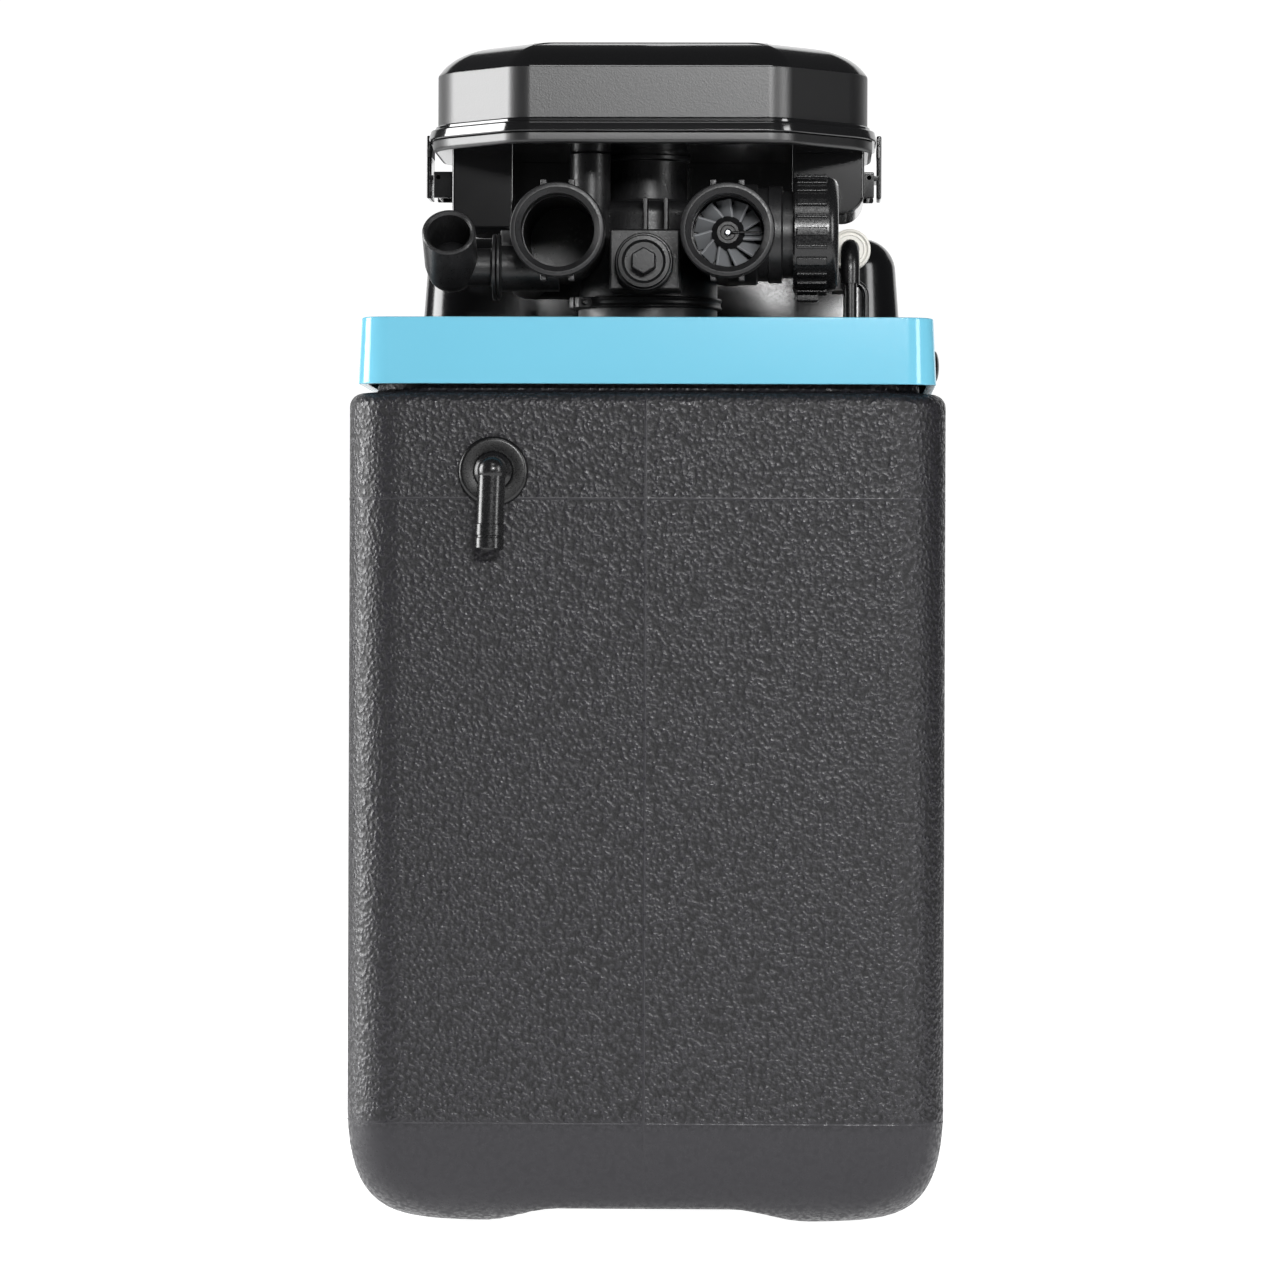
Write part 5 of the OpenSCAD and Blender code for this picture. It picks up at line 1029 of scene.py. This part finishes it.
def overflow_elbow_body():
    """Domed elbow with a straight leg and two barb rings for a hose."""
    piece = bmesh.new()
    out = on_joint("overflow_swivel", -Y_AXIS)
    back = -CABINET_WALL - 3.3
    turned(piece, [(0, back - 3), (STEM_R + 1, back - 3), (STEM_R + 1, back), (STEM_R, back), (STEM_R, 4),
                   (STEM_R - 0.5, 4.4), (BARB_R, 5.5), (BARB_R, LEG_OUT), (0, LEG_OUT)], out)
    bend = out @ at(0, 0, LEG_OUT)
    ball(piece, BARB_R, bend)
    lean = Vector((-math.sin(LEG_LEAN), 0, -math.cos(LEG_LEAN)))
    spot = bend.to_translation()/MM
    end = LEG_L
    turned(piece, [(0, end - 12), (LEG_BORE_R, end - 12), (LEG_BORE_R, end - 0.6), (LEG_BORE_R + 0.6, end),
                   (BARB_R - 0.7, end), (BARB_R, end - 0.7), (BARB_R, end - BARB_L + 0.3),
                   (LEG_R, end - BARB_L), (LEG_R, end - BARB_L - BARB_GAP),
                   (BARB_R, end - BARB_L - BARB_GAP - 0.3), (BARB_R, end - 2*BARB_L - BARB_GAP + 0.3),
                   (LEG_R, end - 2*BARB_L - BARB_GAP), (LEG_R, 0), (0, 0)], at(*spot, lean))
    return piece


make("overflow_elbow_body", overflow_elbow_body(), fitting_plastic, "overflow_elbow", "valve_black",
     "overflow_elbow")

# Injector nut

NUT_R = 26.5
NUT_RIBS = 24
NUT_EDGE = 5
RIB_H = 1.2


def injector_nut_cap():
    """Large union nut with alternating broad and narrow ribs and one stop lug."""
    low, high = (corner.x/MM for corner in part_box("injector_nut"))
    r = NUT_R - RIB_H
    about = at(0, branch.y, branch.z, X_AXIS)
    piece = bmesh.new()
    turned(piece, [(0, high - 4), (19.3, high - 4), (19.3, low), (r - 0.8, low), (r, low + 0.8)]
           + arc(r - NUT_EDGE, high - NUT_EDGE, NUT_EDGE, 0, 90, 8) + [(0, high)], about, steps=96)
    for i in range(NUT_RIBS):
        half = (1.8, 0.9)[i % 2]
        turn = about @ Matrix.Rotation(math.tau*i/NUT_RIBS, 4, "Z")
        block(piece, (r - 1.5, -half, low + 1.5), (NUT_R, half, high - NUT_EDGE), 0.5, turn)
    block(piece, (-3, -r - 4, low + 1.3), (3, -r + 1, low + 11), 0.7, about)
    return piece


make("injector_nut_cap", injector_nut_cap(), fitting_plastic, "injector_nut", "valve_black", "injector_nut")

# Turbine

TURBINE_T = 8
HUB_R = 7.2
BLADES = 11
BLADE_T = 1.2
BLADE_R = 15
BLADE_PITCH = math.radians(40)
turbine_place = on_joint("turbine_spin", -Y_AXIS)


def turbine_blades():
    """Wheel of pitched blades."""
    piece = bmesh.new()
    half = TURBINE_T/2/math.cos(BLADE_PITCH) - BLADE_T/2
    for i in range(BLADES):
        turn = turbine_place @ Matrix.Rotation(math.tau*i/BLADES, 4, "Z") @ at(0, 0, -TURBINE_T/2)
        block(piece, (HUB_R - 1, -BLADE_T/2, -half), (BLADE_R - 0.4, BLADE_T/2, half), 0.3,
              turn @ Matrix.Rotation(BLADE_PITCH, 4, "X"))
    return piece


make("turbine_blades", turbine_blades(), turbine_plastic, "turbine", "turbine_grey", "turbine")


def turbine_hub():
    """Hub of the wheel, with a stepped nose round its pin."""
    piece = bmesh.new()
    turned(piece, [(1.05, -TURBINE_T), (HUB_R, -TURBINE_T), (HUB_R, -0.5), (HUB_R - 0.6, 0.2), (5.4, 1.3), (4.7, 2),
                   (3.4, 2), (3.0, 1.4), (1.05, 1.4)], turbine_place)
    return piece


make("turbine_hub", turbine_hub(), valve_plastic, "turbine", "valve_black")

# Brine connection

BRINE_NUT_R = 9.1
BRINE_NUT_T = 9
TUBE_R = 3
TUBE_BEND = 10
TUBE_ENTRY = 12.5
BOOT_R = 4.1
PROBE_R = 4
PROBE_L = 22
LEAD_R = 1.5
LEAD_BEND = 6


def brine_nut_cap():
    """White compression nut with a raised double rim."""
    piece = bmesh.new()
    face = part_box("brine_nut")[0].y/MM
    r = BRINE_NUT_R
    turned(piece, [(TUBE_R + 0.3, -BRINE_NUT_T), (r - 0.4, -BRINE_NUT_T), (r, -BRINE_NUT_T + 0.4), (r, -0.8),
                   (r - 0.5, -0.15), (r - 0.9, 0), (r - 1.3, -0.2), (r - 1.6, -0.7), (r - 2, -0.75),
                   (r - 2.3, -0.4), (r - 2.8, -0.4), (r - 3.1, -0.8), (TUBE_R + 0.3, -0.9)],
           at(brine.x, face, brine.z, -Y_AXIS))
    return piece


make("brine_nut_cap", brine_nut_cap(), white_acetal, "brine_nut", "white_plastic", "brine_nut")


def brine_hose():
    """Brine tube from the nut down through the deck to the foot of the brine well, with a boot at its bend."""
    piece = bmesh.new()
    low, high = (corner/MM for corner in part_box("brine_tube"))
    bend_y = low.y + TUBE_R
    end = Vector((low.x + TUBE_R, high.y - TUBE_R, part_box("brine_well")[1].z/MM - TUBE_ENTRY))
    drop = Vector((brine.x, bend_y, end.z))
    route = [brine + Y_AXIS*8, Vector((brine.x, bend_y, brine.z)), drop, Vector((brine.x, end.y, end.z)), end,
             Vector((end.x, end.y, low.z))]
    hose(piece, route, TUBE_R, TUBE_BEND)
    top = route[1]
    hose(piece, [top + Y_AXIS*14, top, top - Z_AXIS*16], BOOT_R, TUBE_BEND)
    return piece


make("brine_hose", brine_hose(), seal_rubber, "frame", "rubber", "brine_tube")


def probe_lead():
    """Thin lead from the sensor block down to a probe under the deck."""
    piece = bmesh.new()
    low, high = (corner/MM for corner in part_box("sensor_lead"))
    x = high.x - PROBE_R
    y = (low.y + high.y)/2
    z = high.z - LEAD_R
    hose(piece, [(low.x, y, z), (x, y, z), (x, y, low.z + PROBE_L - 1)], LEAD_R, LEAD_BEND)
    turned(piece, [(0, 0), (PROBE_R - 1, 0), (PROBE_R, 1), (PROBE_R, PROBE_L - 1), (PROBE_R - 1, PROBE_L),
                   (0, PROBE_L)], at(x, y, low.z), steps=32)
    return piece


make("probe_lead", probe_lead(), seal_rubber, "frame", "rubber", "sensor_lead")

# Floor, light and finish

FLOOR_R = 1200
BACKDROP_R = 4500
SWEEP_R = 2500
floor_white = moulded("studio_floor", "#a8a8a9", "#acacad", 0.7, 6, 0.0, 900)
paint = floor_white.node_tree.nodes["Principled BSDF"]
paint.inputs["Emission Color"].default_value = linear("#ffffff")
paint.inputs["Emission Strength"].default_value = 1.0


def studio(name, profile):
    """Round pale piece of the studio about the softener."""
    part = bmesh.new()
    turned(part, profile, Matrix.Identity(4), steps=128)
    mesh = bpy.data.meshes.new(name)
    part.to_mesh(mesh)
    part.free()
    mesh.shade_smooth()
    mesh.materials.append(floor_white)
    thing = bpy.data.objects.new(name, mesh)
    scene.collection.objects.link(thing)
    return thing


def softbox(name, spot, aim, w, h, power):
    """Large soft light at a spot in metres, turned to what it lights."""
    lamp = bpy.data.lights.new(name, "AREA")
    lamp.shape = "RECTANGLE"
    lamp.size = w
    lamp.size_y = h
    lamp.energy = power
    holder = bpy.data.objects.new(name, lamp)
    turn = (Vector(spot) - Vector(aim)).to_track_quat("Z", "Y").to_matrix().to_4x4()
    holder.matrix_world = Matrix.Translation(spot) @ turn
    holder.visible_camera = False
    scene.collection.objects.link(holder)


studio("studio_floor", [(0, -2), (FLOOR_R, -2), (FLOOR_R, -22), (0, -22)])
backdrop = studio("studio_backdrop", [(FLOOR_R, -2)] + arc(BACKDROP_R, SWEEP_R - 2, SWEEP_R, -90, -8, 24)
                  + arc(BACKDROP_R, SWEEP_R - 2, SWEEP_R + 20, -8, -90, 24) + [(FLOOR_R, -22)])
backdrop.visible_diffuse = False
backdrop.visible_glossy = False
middle = (0, 0, 0.25)
softbox("head_softbox", (0.42, -2.6, 1.0), (0, -0.2, 0.49), 0.8, 0.24, 40)
softbox("top_softbox", (0.2, -1.9, 2.3), middle, 1.0, 0.5, 9)
softbox("left_softbox", (-2.2, 0.05, 0.7), middle, 1.1, 1.6, 78)
softbox("right_softbox", (1.9, -1.5, 0.8), middle, 0.6, 1.4, 24)
softbox("back_light", (0, 3.0, 1.0), middle, 5.0, 2.0, 36)

world = bpy.data.worlds.new("pale_world")
world.use_nodes = True
sky = world.node_tree.nodes["Background"]
sky.inputs["Color"].default_value = linear("#f2f3f5")
sky.inputs["Strength"].default_value = 0.06
scene.world = world
scene.view_settings.view_transform = "Standard"
